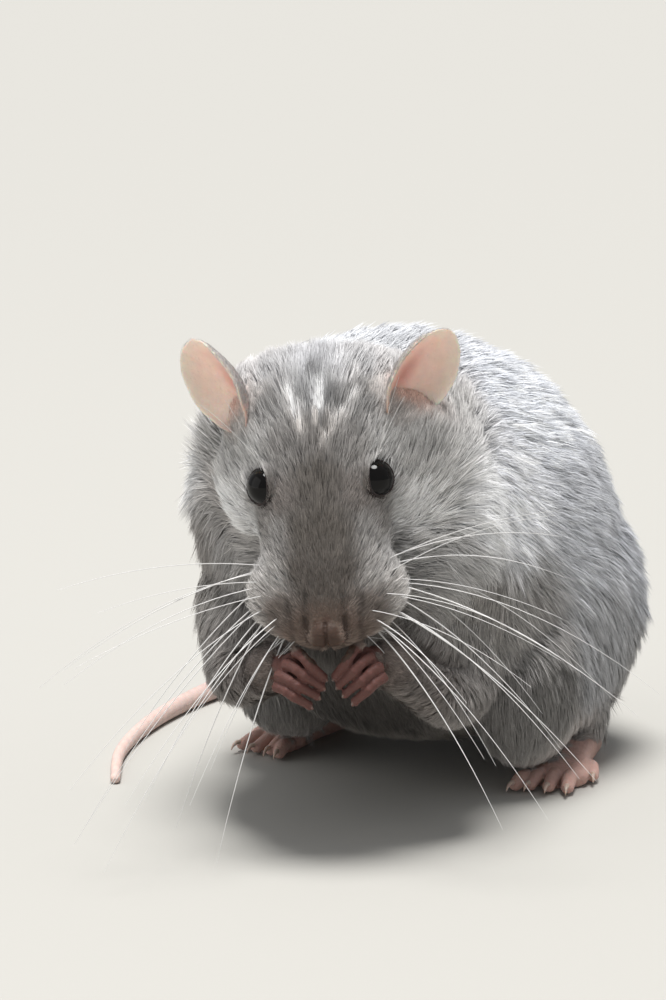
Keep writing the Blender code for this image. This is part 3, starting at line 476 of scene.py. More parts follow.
def handForms(side):
    out = side * pose["handSpread"]
    forms = [ball((out * x, y, z), radii, (0, side * turn, 0), hands)
             for (x, y, z), radii, turn in hand["palm"]]
    for finger in range(4):
        knuckle, middle, tip = fingerLine(side, finger)
        bend = (knuckle + middle) / 2 + Vector((0, 0.35, 0.2))
        path = (knuckle + Vector((out * 1.2, -1.0, 0.3)), knuckle, bend, middle, (middle + tip) / 2, tip)
        forms.append(tube(path, hand["fingerRadii"], 22, 14, hands))
        for k, knob in enumerate((knuckle, bend, middle)):
            radius = hand["knuckle"] - 0.05 * k
            forms.append(ball(knob + Vector((0, 0.25, 0)), (radius,) * 3, place=hands, segments=14))
        end = tip + Vector((side * 0.2, -0.4, -0.2))
        forms.append(ball(end, hand["fingerEnd"], place=hands, segments=16))
    thumb = [(out * x, y, z) for x, y, z in hand["thumb"]]
    forms.append(tube(thumb, hand["thumbRadii"], 10, 12, hands))
    return forms


# each toe: across, back, length, turn; each row of the sole: back, height, half width, up, down
foot = dict(length=27.0, splay=9.0, heel=(30.5, 37.0),
            toes=((-5.4, 8.4, 7.5, -16), (-2.9, 1.5, 11.5, -7), (0.0, 2.5, 12.6, 0), (2.9, 1.5, 11.6, 7),
                  (5.2, -3.5, 8.0, 17)),
            sole=((3.2, 3.4, 1.0, 1.0, 1.2), (2.0, 3.4, 2.9, 2.4, 3.2), (-1.5, 3.6, 3.6, 3.0, 4.2),
                  (-9.0, 3.6, 4.1, 3.2, 4.4), (-18.0, 3.4, 5.0, 3.4, 4.2), (-25.0, 2.8, 6.6, 2.8, 3.6),
                  (-29.0, 2.4, 6.6, 2.0, 3.0), (-31.0, 2.2, 4.0, 1.2, 2.4)))


def footPlace(side):
    heel = Matrix.Translation((side * foot["heel"][0], foot["heel"][1], 0.0))
    return body @ heel @ Matrix.Rotation(math.radians(side * foot["splay"]), 4, "Z")


def toeLine(side, across, back, length, turn):
    aim = math.radians(turn * side)
    root = Vector((side * -across, -foot["length"] + back, 1.9))
    return root, Vector((-math.sin(aim), -math.cos(aim), 0.0)), length


def footForms(side):
    place = footPlace(side)
    rows = [(0.0, *row) for row in foot["sole"]]
    forms = [loft(rows, 36, 32, axes=((1, 0, 0), (0, 0, 1)), squareness=2.4, place=place),
             tube(((0, -1.0, 4.0), (0, -6.0, 9.0), (0, -8.0, 16.0)), (3.4, 4.4, 6.0), 14, 20, place)]
    for toe in foot["toes"]:
        root, way, length = toeLine(side, *toe)
        arch = ((0.0, 0.0), (0.3, 0.9), (0.6, 0.6), (0.85, 0.0), (1.0, 0.0))  # share of the length, height
        path = [root + way * length * share + Vector((0, 0, high)) for share, high in arch]
        forms.append(tube(path, (1.9, 1.5, 1.65, 1.4, 1.0), 16, 14, place))
        pad = root + way * (length - 1.3) + Vector((0, 0, -0.2))
        forms.append(ball(pad, (1.5, 1.5, 1.3), place=place, segments=16))
    return forms


# each groove is a path (forward, out, up), laid on the skin, with its width and its depth along the way, the
# sides it lies on and the painted shade darkening it
grooves = {
    "cleft": dict(path=((29.2, 0, -2.4), (31.2, 0, -3.4), (32.4, 0, -4.8), (32.9, 0, -6.3), (32.7, 0, -8.0),
                        (32.0, 0, -10.0)), width=0.42, depths=(0.45, 0.75, 0.80), sides=(1,), shade=0.9),
    "nostril": dict(path=((32.3, 2.3, -7.4), (31.9, 3.0, -6.4), (31.1, 3.6, -5.3), (30.1, 3.9, -4.3),
                          (28.0, 3.9, -2.9)),
                    width=0.58, depths=(1.10, 1.00, 0.75), sides=bothSides, shade=1.0),
    "mouth": dict(path=((31.5, 0, -11.2), (29.0, 3.0, -13.0), (24.0, 6.5, -15.0), (17.0, 8.5, -15.8),
                        (9.0, 9.0, -15.5)),
                  width=0.50, depths=(0.90, 1.00, 0.60), sides=bothSides, shade=0.8),
}


def noseForms():
    forms = [ball((30.0, 0.0, -5.4), (2.9, 3.7, 2.9), (0, 20, 0), head, 32)]
    for side in bothSides:
        forms.append(ball((30.7, side * 2.4, -5.6), (1.9, 2.0, 2.1), (0, 20, side * 12), head, 24))
    return forms


# the inner corner is drawn out by a share; the profile's points are outward from the opening's edge and
# away from the eyeball's centre
lid = dict(turns=56, corner=0.10,
           profile=((0.00, 3.93), (0.02, 4.06), (0.16, 4.16), (0.36, 4.16), (0.60, 4.04), (0.9, 3.7),
                    (1.2, 3.3), (0.5, 3.2)))


def lidForm(side):
    look = mirrored(eye["look"], side).normalized()
    across = look.cross(Vector(eye["slant"])).normalized()
    along = across.cross(look).normalized()
    half, high = eye["opening"]
    profile, turns, points = lid["profile"], lid["turns"], []
    for outward, reach in profile:
        for k in range(turns):
            turn = 2 * math.pi * k / turns
            c, s = math.cos(turn), math.sin(turn)
            wide = 1.0 / math.sqrt((c / half) ** 2 + (s / high) ** 2)
            wide *= 1.0 + lid["corner"] * max(0.0, c) ** 6
            lean = math.asin(min(0.97, wide / eye["radius"])) + outward / eye["radius"]
            way = look * math.cos(lean) + (along * c + across * s) * math.sin(lean)
            points.append(eyePlace(side) + way * reach)
    faces = []
    for r in range(len(profile)):
        for k in range(turns):
            a, b = r * turns, (r + 1) % len(profile) * turns
            faces.append((a + k, a + (k + 1) % turns, b + (k + 1) % turns, b + k))
    return placed(np.array([tuple(p) for p in points]), head), faces


def lidShare(local, side):  # distance from the gaze as a share of the opening, and from the eyeball's centre
    look = np.array(mirrored(eye["look"], side).normalized())
    across = unit(np.cross(look, eye["slant"]))
    along = unit(np.cross(across, look))
    away = local - np.array(eyePlace(side))
    far = np.maximum(np.linalg.norm(away, axis=1), 1e-6)
    way = away / far[:, None]
    half, high = eye["opening"]
    share = np.hypot(way @ along * eye["radius"] / half, way @ across * eye["radius"] / high)
    return np.where(way @ look > 0, share, 3.0), far, way


def seatEyes(points):  # the skin meets the lids and leaves the eyeball free
    local = placed(points, head.inverted())
    for side in bothSides:
        share, far, way = lidShare(local, side)
        near = far < eye["radius"] + socket["reach"]
        rim = smoothStep((share - 0.90) / 0.12) * (1 - smoothStep((share - 1.12) / 0.75))
        raised = np.maximum(far, far + (socket["rim"] - far) * rim)
        wanted = np.where(share < socket["edge"], np.minimum(far, socket["floor"]), raised)
        local = np.where(near[:, None], np.array(eyePlace(side)) + way * wanted[:, None], local)
    return placed(local, head)


def dent(points, matrix, centre, size, push, depth):  # pushes what lies near a place
    local = placed(points, matrix.inverted())
    near = np.exp(-(((local - np.array(centre)) / np.array(size)) ** 2).sum(axis=1))
    return points + near[:, None] * np.array(matrix.to_3x3() @ Vector(push).normalized()) * depth


def joined(name, *meshes):
    return reworked(bpy.data.meshes.new(name), sources=meshes)


def refine(mesh, wanted, cuts):  # finer faces where wanted says so
    def divide(bm):
        near = [v for v, chosen in zip(bm.verts, wanted) if chosen]
        edges = list({e for v in near for e in v.link_edges})
        bmesh.ops.subdivide_edges(bm, edges=edges, cuts=cuts, use_grid_fill=True)

    reworked(mesh, divide, inTriangles)


def grooveLines(surface):  # every groove's points on the surface, with their width, depth and shade
    lines = []
    for groove in grooves.values():
        for side in groove["sides"]:
            path = spline([(f, side * out, up) for f, out, up in groove["path"]], 40)
            stations = np.linspace(0, 1, len(groove["depths"]))
            depth = np.interp(np.linspace(0, 1, 40), stations, groove["depths"])
            on = np.array([tuple(surface.find_nearest(head @ Vector(p))[0]) for p in path])
            lines.append((on, groove["width"], depth, groove["shade"]))
    return lines


def grooveAt(points, line):  # how deep in the groove each point lies
    on, width, depth, _ = line
    deep = np.zeros(len(points))
    near = np.flatnonzero(np.linalg.norm(points - on.mean(axis=0), axis=1) < 16)
    far = np.linalg.norm(points[near][:, None] - on[None], axis=2)
    closest = far.argmin(axis=1)
    deep[near] = depth[closest] * np.exp(-(far[np.arange(len(near)), closest] / width) ** 2)
    return deep


def shapeNose(mesh):
    points, normals = vertexArrays(mesh)
    surface = BVHTree.FromPolygons(points.tolist(), [tuple(p.vertices) for p in mesh.polygons])
    lines = grooveLines(surface)
    before = points.copy()
    for side in bothSides:  # the wings of the nostrils
        points = dent(points, head, (31.4, side * 1.7, -4.8), (1.4, 1.1, 1.2), (1, 0, 0.4), 0.35)
        points = dent(points, head, (30.2, side * 4.6, -6.4), (1.3, 0.9, 1.5), (1, side * 0.6, 0), 0.40)
    for line in lines:
        points = points - normals * grooveAt(before, line)[:, None]
    return points, lines


def makeSkin():
    arms = [tube(armPath(side), (9.5, 7.4, 5.6, 3.7, 2.6), 40, 28) for side in bothSides]
    outline, armForm = (sunkBy(fuse(part, meshOf(part, forms), *skinSizes[part]), skinSizes["depth"])
                        for part, forms in (("outline", bodyForms()), ("arms", arms)))
    flesh = joined("flesh", outline.data, armForm.data, meshOf("nose", noseForms()))
    skin = fuse("skin", flesh, *skinSizes["flesh"])
    drop(outline)
    drop(armForm)
    inHead = placed(vertexArrays(skin.data)[0], head.inverted())
    toEye = np.min([np.linalg.norm(inHead - np.array(eyePlace(side)), axis=1) for side in bothSides], axis=0)
    refine(skin.data, (inHead[:, 0] > finer["noseFrom"]) | (toEye < finer["eyeReach"]), finer["cuts"])
    setPoints(skin.data, seatEyes(vertexArrays(skin.data)[0]))
    points, lines = shapeNose(skin.data)
    setPoints(skin.data, points)
    for side in bothSides:
        for part, forms in (("hand", handForms(side)), ("foot", footForms(side))):
            bare = fuse(part, meshOf(part, forms), *skinSizes[part])
            skin.data = joined("skin", skin.data, bare.data)
            drop(bare)
    skin.data = reworked(joined("skin", skin.data, meshOf("lids", [lidForm(1), lidForm(-1)])), inTriangles)
    points, _ = vertexArrays(skin.data)
    points[:, 2] = np.maximum(points[:, 2], 0.02)
    setPoints(skin.data, points)
    skin.data.shade_smooth()
    return skin, lines


skin, noseLines = makeSkin()
print("skin", len(skin.data.polygons), "triangles")

# bare skin is what lies nearest to the solids of the hands, feet and nose


def nearestFrom(nodes):
    points = np.vstack([vertexArrays(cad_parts[name].data)[0] for name in nodes])
    tree = KDTree(len(points))
    for i, p in enumerate(points):
        tree.insert(p, i)
    tree.balance()
    return tree


bareNodes = ["hand_left", "hand_right", "foot_left", "foot_right", "nose"]
fleshNodes = ["head", "neck", "torso", "lower_jaw", "thigh_left", "thigh_right", "foreleg_left",
              "foreleg_right", "whisker_pad_left", "whisker_pad_right"]
edgeShift = 0.6  # how far the bare skin's edge stands from the solids' gap, towards the bare skin
bareTree, fleshTree = nearestFrom(bareNodes), nearestFrom(fleshNodes)


def bareness(points, softness=0.9):
    toBare = np.array([bareTree.find(p)[2] for p in points])
    toFlesh = np.array([fleshTree.find(p)[2] for p in points])
    return smoothStep(0.5 + (toFlesh - toBare - edgeShift) / (2 * softness))


# the hands' colour is their pink skin darkened with painted shade, for the shadow under the head
skinColours = dict(hand=(0.122, 0.055, 0.047), foot=(0.50, 0.32, 0.275), nose=(0.062, 0.037, 0.027),
                   # the grooves' colour: painted shade in the nostrils, the nose's cleft and the mouth
                   nostril=(0.02, 0.010, 0.009), lid=(0.035, 0.027, 0.026), underCoat=0.80)
reaches = dict(nose=(30.0, 0.0, -6.0), noseSize=6.5, handSize=22.0, lid=1.2, lidEdge=1.10, groove=0.5)


# writes the colours into a colour attribute: the coat's and skin's own colours and, at some places, painted
# light and shade
def paint(mesh, name, colours):
    layer = mesh.attributes.get(name) or mesh.attributes.new(name, "FLOAT_COLOR", "POINT")
    layer.data.foreach_set("color", np.hstack([colours, np.ones((len(colours), 1))]).ravel())


def skinPaint(points):
    under = coatAt(points)[3] * skinColours["underCoat"]
    bare = bareness(points)[:, None]
    inHead, inHands = placed(points, head.inverted()), placed(points, hands.inverted())
    isNose = np.linalg.norm(inHead - reaches["nose"], axis=1) < reaches["noseSize"]
    isHand = np.linalg.norm(inHands, axis=1) < reaches["handSize"]
    # hands get their pink skin darkened with painted shade
    own = np.where(isHand[:, None], skinColours["hand"], skinColours["foot"])
    own = np.where(isNose[:, None], skinColours["nose"], own)
    colours = under * (1 - bare) + own * bare
    # painted shade darkens the skin in each groove: nostrils, cleft and mouth
    for line in noseLines:
        near = line[3] * np.minimum(1.0, grooveAt(points, line) / reaches["groove"])[:, None]
        colours = colours * (1 - near) + np.array(skinColours["nostril"]) * near
    for side in bothSides:
        share, far, _ = lidShare(inHead, side)
        atLid = far < eye["radius"] + reaches["lid"]
        near = ((1 - smoothStep((share - reaches["lidEdge"]) / 0.12)) * atLid)[:, None]
        colours = colours * (1 - near) + np.array(skinColours["lid"]) * near
    return colours


paint(skin.data, "markingsAndShading", skinPaint(vertexArrays(skin.data)[0]))
print("skin painted")

# materials


def newMaterial(name, roughness, specular=0.4):
    made = bpy.data.materials.new(name)
    made.use_nodes = True
    shader = made.node_tree.nodes["Principled BSDF"]
    shader.inputs["Roughness"].default_value = roughness
    shader.inputs["Specular IOR Level"].default_value = specular
    return made, made.node_tree, shader


def node(tree, kind, **values):
    made = tree.nodes.new(kind)
    for key, value in values.items():
        if key in made.inputs:
            made.inputs[key].default_value = value
        else:
            setattr(made, key, value)
    return made


def mottled(tree, base, scale, amount, detail=4.0):  # multiplies a colour by soft noise round 1
    place = node(tree, "ShaderNodeTexCoord")
    cloud = node(tree, "ShaderNodeTexNoise", Scale=scale, Detail=detail)
    tree.links.new(place.outputs["Object"], cloud.inputs["Vector"])
    span = node(tree, "ShaderNodeMapRange")
    span.inputs["To Min"].default_value = 1.0 - amount
    span.inputs["To Max"].default_value = 1.0 + amount
    tree.links.new(cloud.outputs["Fac"], span.inputs["Value"])
    times = node(tree, "ShaderNodeVectorMath", operation="SCALE")
    tree.links.new(base, times.inputs[0])
    tree.links.new(span.outputs["Result"], times.inputs["Scale"])
    return times.outputs["Vector"]


def bumped(tree, shader, scale, strength, distance, texture="ShaderNodeTexNoise", output="Fac"):
    place = node(tree, "ShaderNodeTexCoord")
    grain = node(tree, texture, Scale=scale)
    tree.links.new(place.outputs["Object"], grain.inputs["Vector"])
    bump = node(tree, "ShaderNodeBump", Strength=strength, Distance=distance)
    tree.links.new(grain.outputs[output], bump.inputs["Height"])
    tree.links.new(bump.outputs["Normal"], shader.inputs["Normal"])


def attributeMaterial(name, roughness, specular, mottle, bump, subsurface=0.0, radius=(1.0, 0.35, 0.2)):
    made, tree, shader = newMaterial(name, roughness, specular)
    colour = node(tree, "ShaderNodeAttribute", attribute_name="markingsAndShading")
    tree.links.new(mottled(tree, colour.outputs["Color"], *mottle), shader.inputs["Base Color"])
    bumped(tree, shader, *bump)
    shader.inputs["Subsurface Weight"].default_value = subsurface
    shader.inputs["Subsurface Scale"].default_value = 0.0012
    shader.inputs["Subsurface Radius"].default_value = radius
    return made


coatMaterial = attributeMaterial("coatHair", 0.62, 0.22, (420, 0.16), (2600, 0.15, 0.0002))
coatMaterial.node_tree.nodes["Principled BSDF"].inputs["Sheen Weight"].default_value = 0.12
skinMaterial = attributeMaterial("bareSkin", 0.58, 0.22, (700, 0.16), (1500, 0.55, 0.0004), 0.20)
earMaterial = attributeMaterial("earSkin", 0.50, 0.35, (500, 0.10), (1700, 0.30, 0.0003), 0.55)
tailMaterial = attributeMaterial("tailSkin", 0.55, 0.35, (380, 0.16), (1800, 0.35, 0.0004), 0.12)
whiskerMaterial = attributeMaterial("whiskerHair", 0.30, 0.5, (300, 0.05), (2000, 0.05, 0.0001))
clawMaterial = attributeMaterial("clawHorn", 0.28, 0.5, (900, 0.12), (2000, 0.10, 0.0001), 0.3)


def eyeMaterial():
    made, tree, shader = newMaterial("eyeball", 0.05, 0.20)
    place = node(tree, "ShaderNodeTexCoord")
    cloud = node(tree, "ShaderNodeTexNoise", Scale=900, Detail=3)
    tree.links.new(place.outputs["Object"], cloud.inputs["Vector"])
    ramp = node(tree, "ShaderNodeValToRGB")
    ramp.color_ramp.elements[0].color = (0.0010, 0.0008, 0.0008, 1)
    ramp.color_ramp.elements[1].color = (0.0035, 0.0026, 0.0024, 1)
    tree.links.new(cloud.outputs["Fac"], ramp.inputs["Fac"])
    tree.links.new(ramp.outputs["Color"], shader.inputs["Base Color"])
    return made


def finishPiece(obj, material, nodes=()):
    obj.data.materials.clear()
    obj.data.materials.append(material)
    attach(obj, "root")
    if nodes:
        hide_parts(*nodes)
    return obj


# eyes

eyeGloss = eyeMaterial()
for side, word in ((1, "left"), (-1, "right")):
    ballForm = ball(eyePlace(side), (eye["radius"],) * 3, place=head, segments=64)
    eyeball = objectOf(f"eye_{word}_ball", meshOf(f"eye_{word}_ball", [ballForm]))
    eyeball.data.shade_smooth()
    finishPiece(eyeball, eyeGloss, [f"eye_{word}"])


# thin cupped ears with a rolled edge and ridges by the root

# inner and rim: the ear's own pink and paler skin, brightened with painted light for the glow of light
# through the thin ear
ear = dict(root=(-12.0, 14.8, 2.4), rise=(-0.76, 0.54, 0.40), swing=0.10, facing=(0.42, 0.66, 0.52),
           length=21.5, halfWidth=7.3, cup=3.6, foldAt=-0.12, thickness=0.5, rings=16, spokes=56,
           inner=(0.90, 0.70, 0.60), rim=(0.84, 0.76, 0.66), fold=(0.56, 0.26, 0.22), base=(0.64, 0.46, 0.40),
           back=(0.44, 0.385, 0.365))


def earAxes(side):
    rise = Vector((ear["rise"][0], side * ear["rise"][1] + ear["swing"], ear["rise"][2])).normalized()
    facing = mirrored(ear["facing"], side)
    facing = (facing - rise * facing.dot(rise)).normalized()
    return mirrored(ear["root"], side), rise, facing, rise.cross(facing)


def onEar(points, normals, side):  # height and breadth as shares of the ear's, and how far it faces back
    root, rise, facing, across = (np.array(v) for v in earAxes(side))
    local = placed(points, head.inverted()) - root
    back = smoothStep(-4 * (normals @ np.array(head.to_3x3()) @ facing))
    return local @ rise / ear["length"], side * (local @ across) / ear["halfWidth"], back


def earPaint(mesh, side):
    high, beside, back = onEar(*vertexArrays(mesh), side)
    rimness = np.hypot((high - 0.5) * 2, beside)
    layers = (("rim", smoothStep((rimness - 0.60) / 0.40)),
              ("fold", 0.8 * np.exp(-(((high - 0.42) / 0.26) ** 2 + ((beside - ear["foldAt"]) / 0.26) ** 2))),
              ("back", back), ("base", smoothStep((0.34 - high) / 0.30)))
    # the inner colour and the rim carry painted light for the ear's glow
    colours = np.array(ear["inner"])[None]
    for name, share in layers:
        colours = colours * (1 - share[:, None]) + np.array(ear[name]) * share[:, None]
    return colours


def earForm(side):
    root, rise, facing, across = earAxes(side)
    rings, spokes = ear["rings"], ear["spokes"]
    points, faces = [], []
    for ring in range(rings + 1):
        out = ring / rings
        for spoke in range(spokes if ring else 1):
            turn = 2 * math.pi * spoke / spokes
            up, beside = math.cos(turn), math.sin(turn)
            narrow = 1.0 - 0.18 * max(0.0, -up) ** 1.5
            wave = 1.0 + 0.012 * math.sin(5 * turn + side) + 0.008 * math.sin(11 * turn)
            high = ear["length"] * 0.5 * (1 + up * out * wave)
            wide = ear["halfWidth"] * beside * out * narrow * wave
            cup = -ear["cup"] * (1.0 - out**2.2) * (1.0 - 0.35 * up * out)
            curl = 1.2 * out**3 * abs(beside) + 0.5 * out**8
            ridges = 0.35 * math.sin(beside * out * 9.0) * math.exp(-((up * out + 0.55) / 0.35) ** 2)
            points.append(root + rise * high + across * wide + facing * (cup + curl + ridges))
    for spoke in range(spokes):
        after = (spoke + 1) % spokes
        faces.append((0, 1 + spoke, 1 + after))
        for ring in range(rings - 1):
            a = 1 + ring * spokes
            faces.append((a + spoke, a + spokes + spoke, a + spokes + after, a + after))
    return placed(np.array([tuple(p) for p in points]), head), faces


ears = {}
for side, word in ((1, "left"), (-1, "right")):
    dish = objectOf(f"ear_{word}_skin", meshOf(f"ear_{word}_skin", [earForm(side)]))
    wall = dish.modifiers.new("wall", "SOLIDIFY")
    wall.thickness = ear["thickness"] * mm
    wall.offset = 0.0
    wall.use_even_offset = True
    soften = dish.modifiers.new("round", "SUBSURF")
    soften.levels = soften.render_levels = 1
    settle(dish)
    dish.data.shade_smooth()
    paint(dish.data, "markingsAndShading", earPaint(dish.data, side))
    ears[word] = finishPiece(dish, earMaterial, [f"ear_{word}"])
print("eyes and ears set")

# a sweep along curves, for the tail's rings and the whiskers


def sweepTree(name, material, settings):
    tree = bpy.data.node_groups.new(name, "GeometryNodeTree")
    tree.interface.new_socket("Geometry", in_out="INPUT", socket_type="NodeSocketGeometry")
    for label, value in settings.items():
        kind = "NodeSocketInt" if isinstance(value, int) else "NodeSocketFloat"
        tree.interface.new_socket(label, in_out="INPUT", socket_type=kind).default_value = value
    tree.interface.new_socket("Geometry", in_out="OUTPUT", socket_type="NodeSocketGeometry")
    source, toCurve, index = (tree.nodes.new(kind) for kind in (
        "NodeGroupInput", "GeometryNodeMeshToCurve", "GeometryNodeInputIndex"))
    setRadius, skinOver, smooth, realize, sink = (tree.nodes.new(kind) for kind in (
        "GeometryNodeSetCurveRadius", "GeometryNodeCurveToMesh", "GeometryNodeSetShadeSmooth",
        "GeometryNodeRealizeInstances", "NodeGroupOutput"))
    within = node(tree, "ShaderNodeMath", operation="MODULO")
    share = node(tree, "ShaderNodeMath", operation="DIVIDE")
    swell = node(tree, "ShaderNodeMath", operation="MULTIPLY_ADD")
    swell.inputs[2].default_value = 1.0
    stored = node(tree, "GeometryNodeInputNamedAttribute", data_type="FLOAT", Name="thickness")
    radius = node(tree, "ShaderNodeMath", operation="MULTIPLY")
    section = node(tree, "GeometryNodeCurvePrimitiveCircle", Radius=1.0)
    skinOver.inputs["Fill Caps"].default_value = True
    dress = node(tree, "GeometryNodeSetMaterial", Material=material)
    links = [(source, "Geometry", toCurve, "Mesh"), (index, "Index", within, 0),
             (source, "Rows per ring", within, 1), (within, 0, share, 0),
             (source, "Rows per ring", share, 1), (share, 0, swell, 0),
             (source, "Ring rise", swell, 1), (stored, "Attribute", radius, 0), (swell, 0, radius, 1),
             (toCurve, "Curve", setRadius, "Curve"), (radius, 0, setRadius, "Radius"),
             (source, "Sides", section, "Resolution"), (setRadius, "Curve", skinOver, "Curve"),
             (section, "Curve", skinOver, "Profile Curve"), (skinOver, "Mesh", smooth, "Geometry"),
             (smooth, "Geometry", realize, "Geometry"), (realize, "Geometry", dress, "Geometry"),
             (dress, "Geometry", sink, "Geometry")]
    if "Scale" in skinOver.inputs:
        links.append((radius, 0, skinOver, "Scale"))
    for giver, output, taker, entry in links:
        tree.links.new(giver.outputs[output], taker.inputs[entry])
    return tree


def sweepAlong(name, paths, material, ringSides, rowsPerRing=1, ringRise=0.0):
    points, edges, thickness = [], [], []
    for path, radii in paths:
        start = len(points)
        points.extend(tuple(Vector(p) * mm) for p in path)
        thickness.extend(radii)
        edges.extend((start + k, start + k + 1) for k in range(len(path) - 1))
    mesh = bpy.data.meshes.new(name)
    mesh.from_pydata(points, edges, [])
    mesh.attributes.new("thickness", "FLOAT", "POINT").data.foreach_set("value", np.array(thickness) * mm)
    obj = objectOf(name, mesh)
    settings = {"Sides": ringSides, "Rows per ring": rowsPerRing, "Ring rise": ringRise}
    step = obj.modifiers.new("sweep", "NODES")
    step.node_group = sweepTree(name + "Sweep", material, settings)
    for item in step.node_group.interface.items_tree:
        if item.in_out == "INPUT" and item.name in settings:
            step[item.identifier] = settings[item.name]
    settle(obj)
    reworked(obj.data, lambda bm: bmesh.ops.remove_doubles(bm, verts=bm.verts, dist=1e-7), faceOutward)
    return obj


# tail

tail = dict(rootRadius=5.2, tipRadius=1.1, inside=0.95, sides=28, ringWidth=1.05, rowsPerRing=4, rise=0.05,
            route=((0.0, 58.0, 18.0), (-0.5, 70.0, 11.0), (-5.0, 84.0, 2.5), (-17.0, 95.0, 0.0),
                   (-34.0, 98.0, 0.0), (-51.0, 90.0, 0.0), (-63.0, 74.0, 0.0), (-69.0, 52.0, 0.0),
                   (-70.5, 28.0, 0.0), (-68.0, 5.0, 0.0), (-62.0, -16.0, 0.0), (-52.0, -35.0, 0.0)),
            colour=(0.50, 0.38, 0.35), tip=(0.66, 0.50, 0.45))


def tailLine():
    rough = spline(tail["route"], 400)
    run = np.concatenate([[0.0], np.cumsum(np.linalg.norm(np.diff(rough, axis=0), axis=1))])
    count = int(run[-1] / tail["ringWidth"] * tail["rowsPerRing"])
    at = np.linspace(0, run[-1], count)
    line = np.stack([np.interp(at, run, rough[:, k]) for k in range(3)], axis=1)
    share = at / run[-1]
    radius = tail["rootRadius"] + (tail["tipRadius"] - tail["rootRadius"]) * share**0.85
    radius *= tail["inside"]
    line[:, 2] = np.maximum(line[:, 2], 0.0) + radius * (1 + tail["rise"]) + 0.02
    radius[-3:] *= (0.92, 0.7, 0.35)
    return placed(line, body), radius


tailPath, tailRadius = tailLine()
tailPiece = sweepAlong("tail", [(tailPath, tailRadius)], tailMaterial, tail["sides"], tail["rowsPerRing"],
                       tail["rise"])
points, _ = vertexArrays(tailPiece.data)
down = smoothStep((points[:, 1] - shift.y + 30) / 130)[:, None]
ringTone = 0.97 + 0.03 * np.sin(points @ np.array((2.0, 2.0, 0.0)))
tailColours = np.array(tail["tip"]) * (1 - down) + np.array(tail["colour"]) * down
paint(tailPiece.data, "markingsAndShading", tailColours * ringTone[:, None])
finishPiece(tailPiece, tailMaterial, [f"tail_{k}" for k in range(1, 7)])
print("tail set")

# claws

claw = dict(toe=((1.5, 0.25), (2.7, -0.35), (3.3, -1.2)), toeRadii=(0.62, 0.5, 0.3, 0.08),
            finger=((0.0, 0.1, 0.1), (-0.3, -0.2, -0.5), (-0.4, -0.8, -0.9), (-0.2, -1.2, -1.2)),
            fingerRadii=(0.40, 0.34, 0.22, 0.07), handsAbove=15.0,
            # onHand: the claws' pale horn darkened with painted shade, like the hands in the shadow under the
            # head
            onHand=(0.15, 0.085, 0.070), onFoot=(0.46, 0.36, 0.30))


def clawForms():
    forms = []
    for side in bothSides:
        place = footPlace(side)
        for toe in foot["toes"]:
            root, way, length = toeLine(side, *toe)
            start = root + way * (length - 0.7) + Vector((0, 0, 0.4))
            path = [start] + [start + way * ahead + Vector((0, 0, up)) for ahead, up in claw["toe"]]
            forms.append(tube(path, claw["toeRadii"], 12, 12, place))
        for finger in range(4):
            tip = fingerLine(side, finger)[2]
            path = [tip + Vector((side * out, front, up)) for out, front, up in claw["finger"]]
            forms.append(tube(path, claw["fingerRadii"], 10, 10, hands))
    return forms


claws = objectOf("claws", meshOf("claws", clawForms()))
claws.data.shade_smooth()
points, _ = vertexArrays(claws.data)
paint(claws.data, "markingsAndShading", np.where(points[:, 2:] > claw["handsAbove"], claw["onHand"], claw["onFoot"]))
finishPiece(claws, clawMaterial)

# whiskers

whisker = dict(rows=5, columns=4, lengths=(62.0, 44.0), sag=(0.16, 0.34), lowSag=0.20, root=0.155, tip=0.03,
               seed=11, colour=(0.72, 0.71, 0.70), spread=0.10, rightDroop=0.45, points=15, overFloor=1.0)
lipHair = dict(count=20, ahead=(20, 29), out=(4, 9.5), up=(-13.5, -7), lengths=(4, 9), root=0.045, sag=0.1)
browHair = dict(count=2, lengths=(15, 22), root=0.03, sag=0.16)


def whiskerRoot(side, lower, ahead):
    out = 12.6 - 3.2 * ahead - 1.0 * lower
    return Vector((14.4 + 11.6 * ahead - 0.4 * lower, side * out, -5.0 - 7.6 * lower))


def whiskerShares():  # how low and how far ahead each whisker stands on its pad
    rows, columns = whisker["rows"], whisker["columns"]
    return [(row / (rows - 1), column / (columns - 1)) for row in range(rows) for column in range(columns)]


def hairLine(root, heading, length, thickness, sag):  # points and radii of one hair, which sags to its tip
    fall = head.to_3x3().inverted() @ Vector((0, 0, -1))
    shares = np.arange(whisker["points"]) / (whisker["points"] - 1)
    line = []
    for along in shares:
        ahead, down = heading.normalized() * (length * along - 1.0), fall * (sag * length * along**2.0)
        line.append(head @ (root + ahead + down))
    return line, thickness * (1 - shares) ** 0.8 + whisker["tip"]


def padWhisker(side, lower, ahead, rng):
    lower += rng.normal(0, 0.06)
    ahead += rng.normal(0, 0.05)
    droop = whisker["rightDroop"] * (0.8 + 0.6 * lower) if side < 0 else 0.0
    forward = -0.44 + 0.92 * ahead + 0.66 * lower + droop + rng.normal(0, whisker["spread"])
    up = 0.46 - 0.88 * lower + 0.38 * lower * ahead + rng.normal(0, whisker["spread"])
    length = whisker["lengths"][0] + (whisker["lengths"][1] - whisker["lengths"][0]) * ahead
    length = (length - 6.0 * abs(lower - 0.5)) * rng.uniform(0.62, 1.08)
    thickness = whisker["root"] * rng.uniform(0.6, 1.1) * (0.55 + 0.5 * lower)
    sag = rng.uniform(*whisker["sag"]) + whisker["lowSag"] * lower
    return hairLine(whiskerRoot(side, lower, ahead), Vector((forward, side, up)), length, thickness, sag)


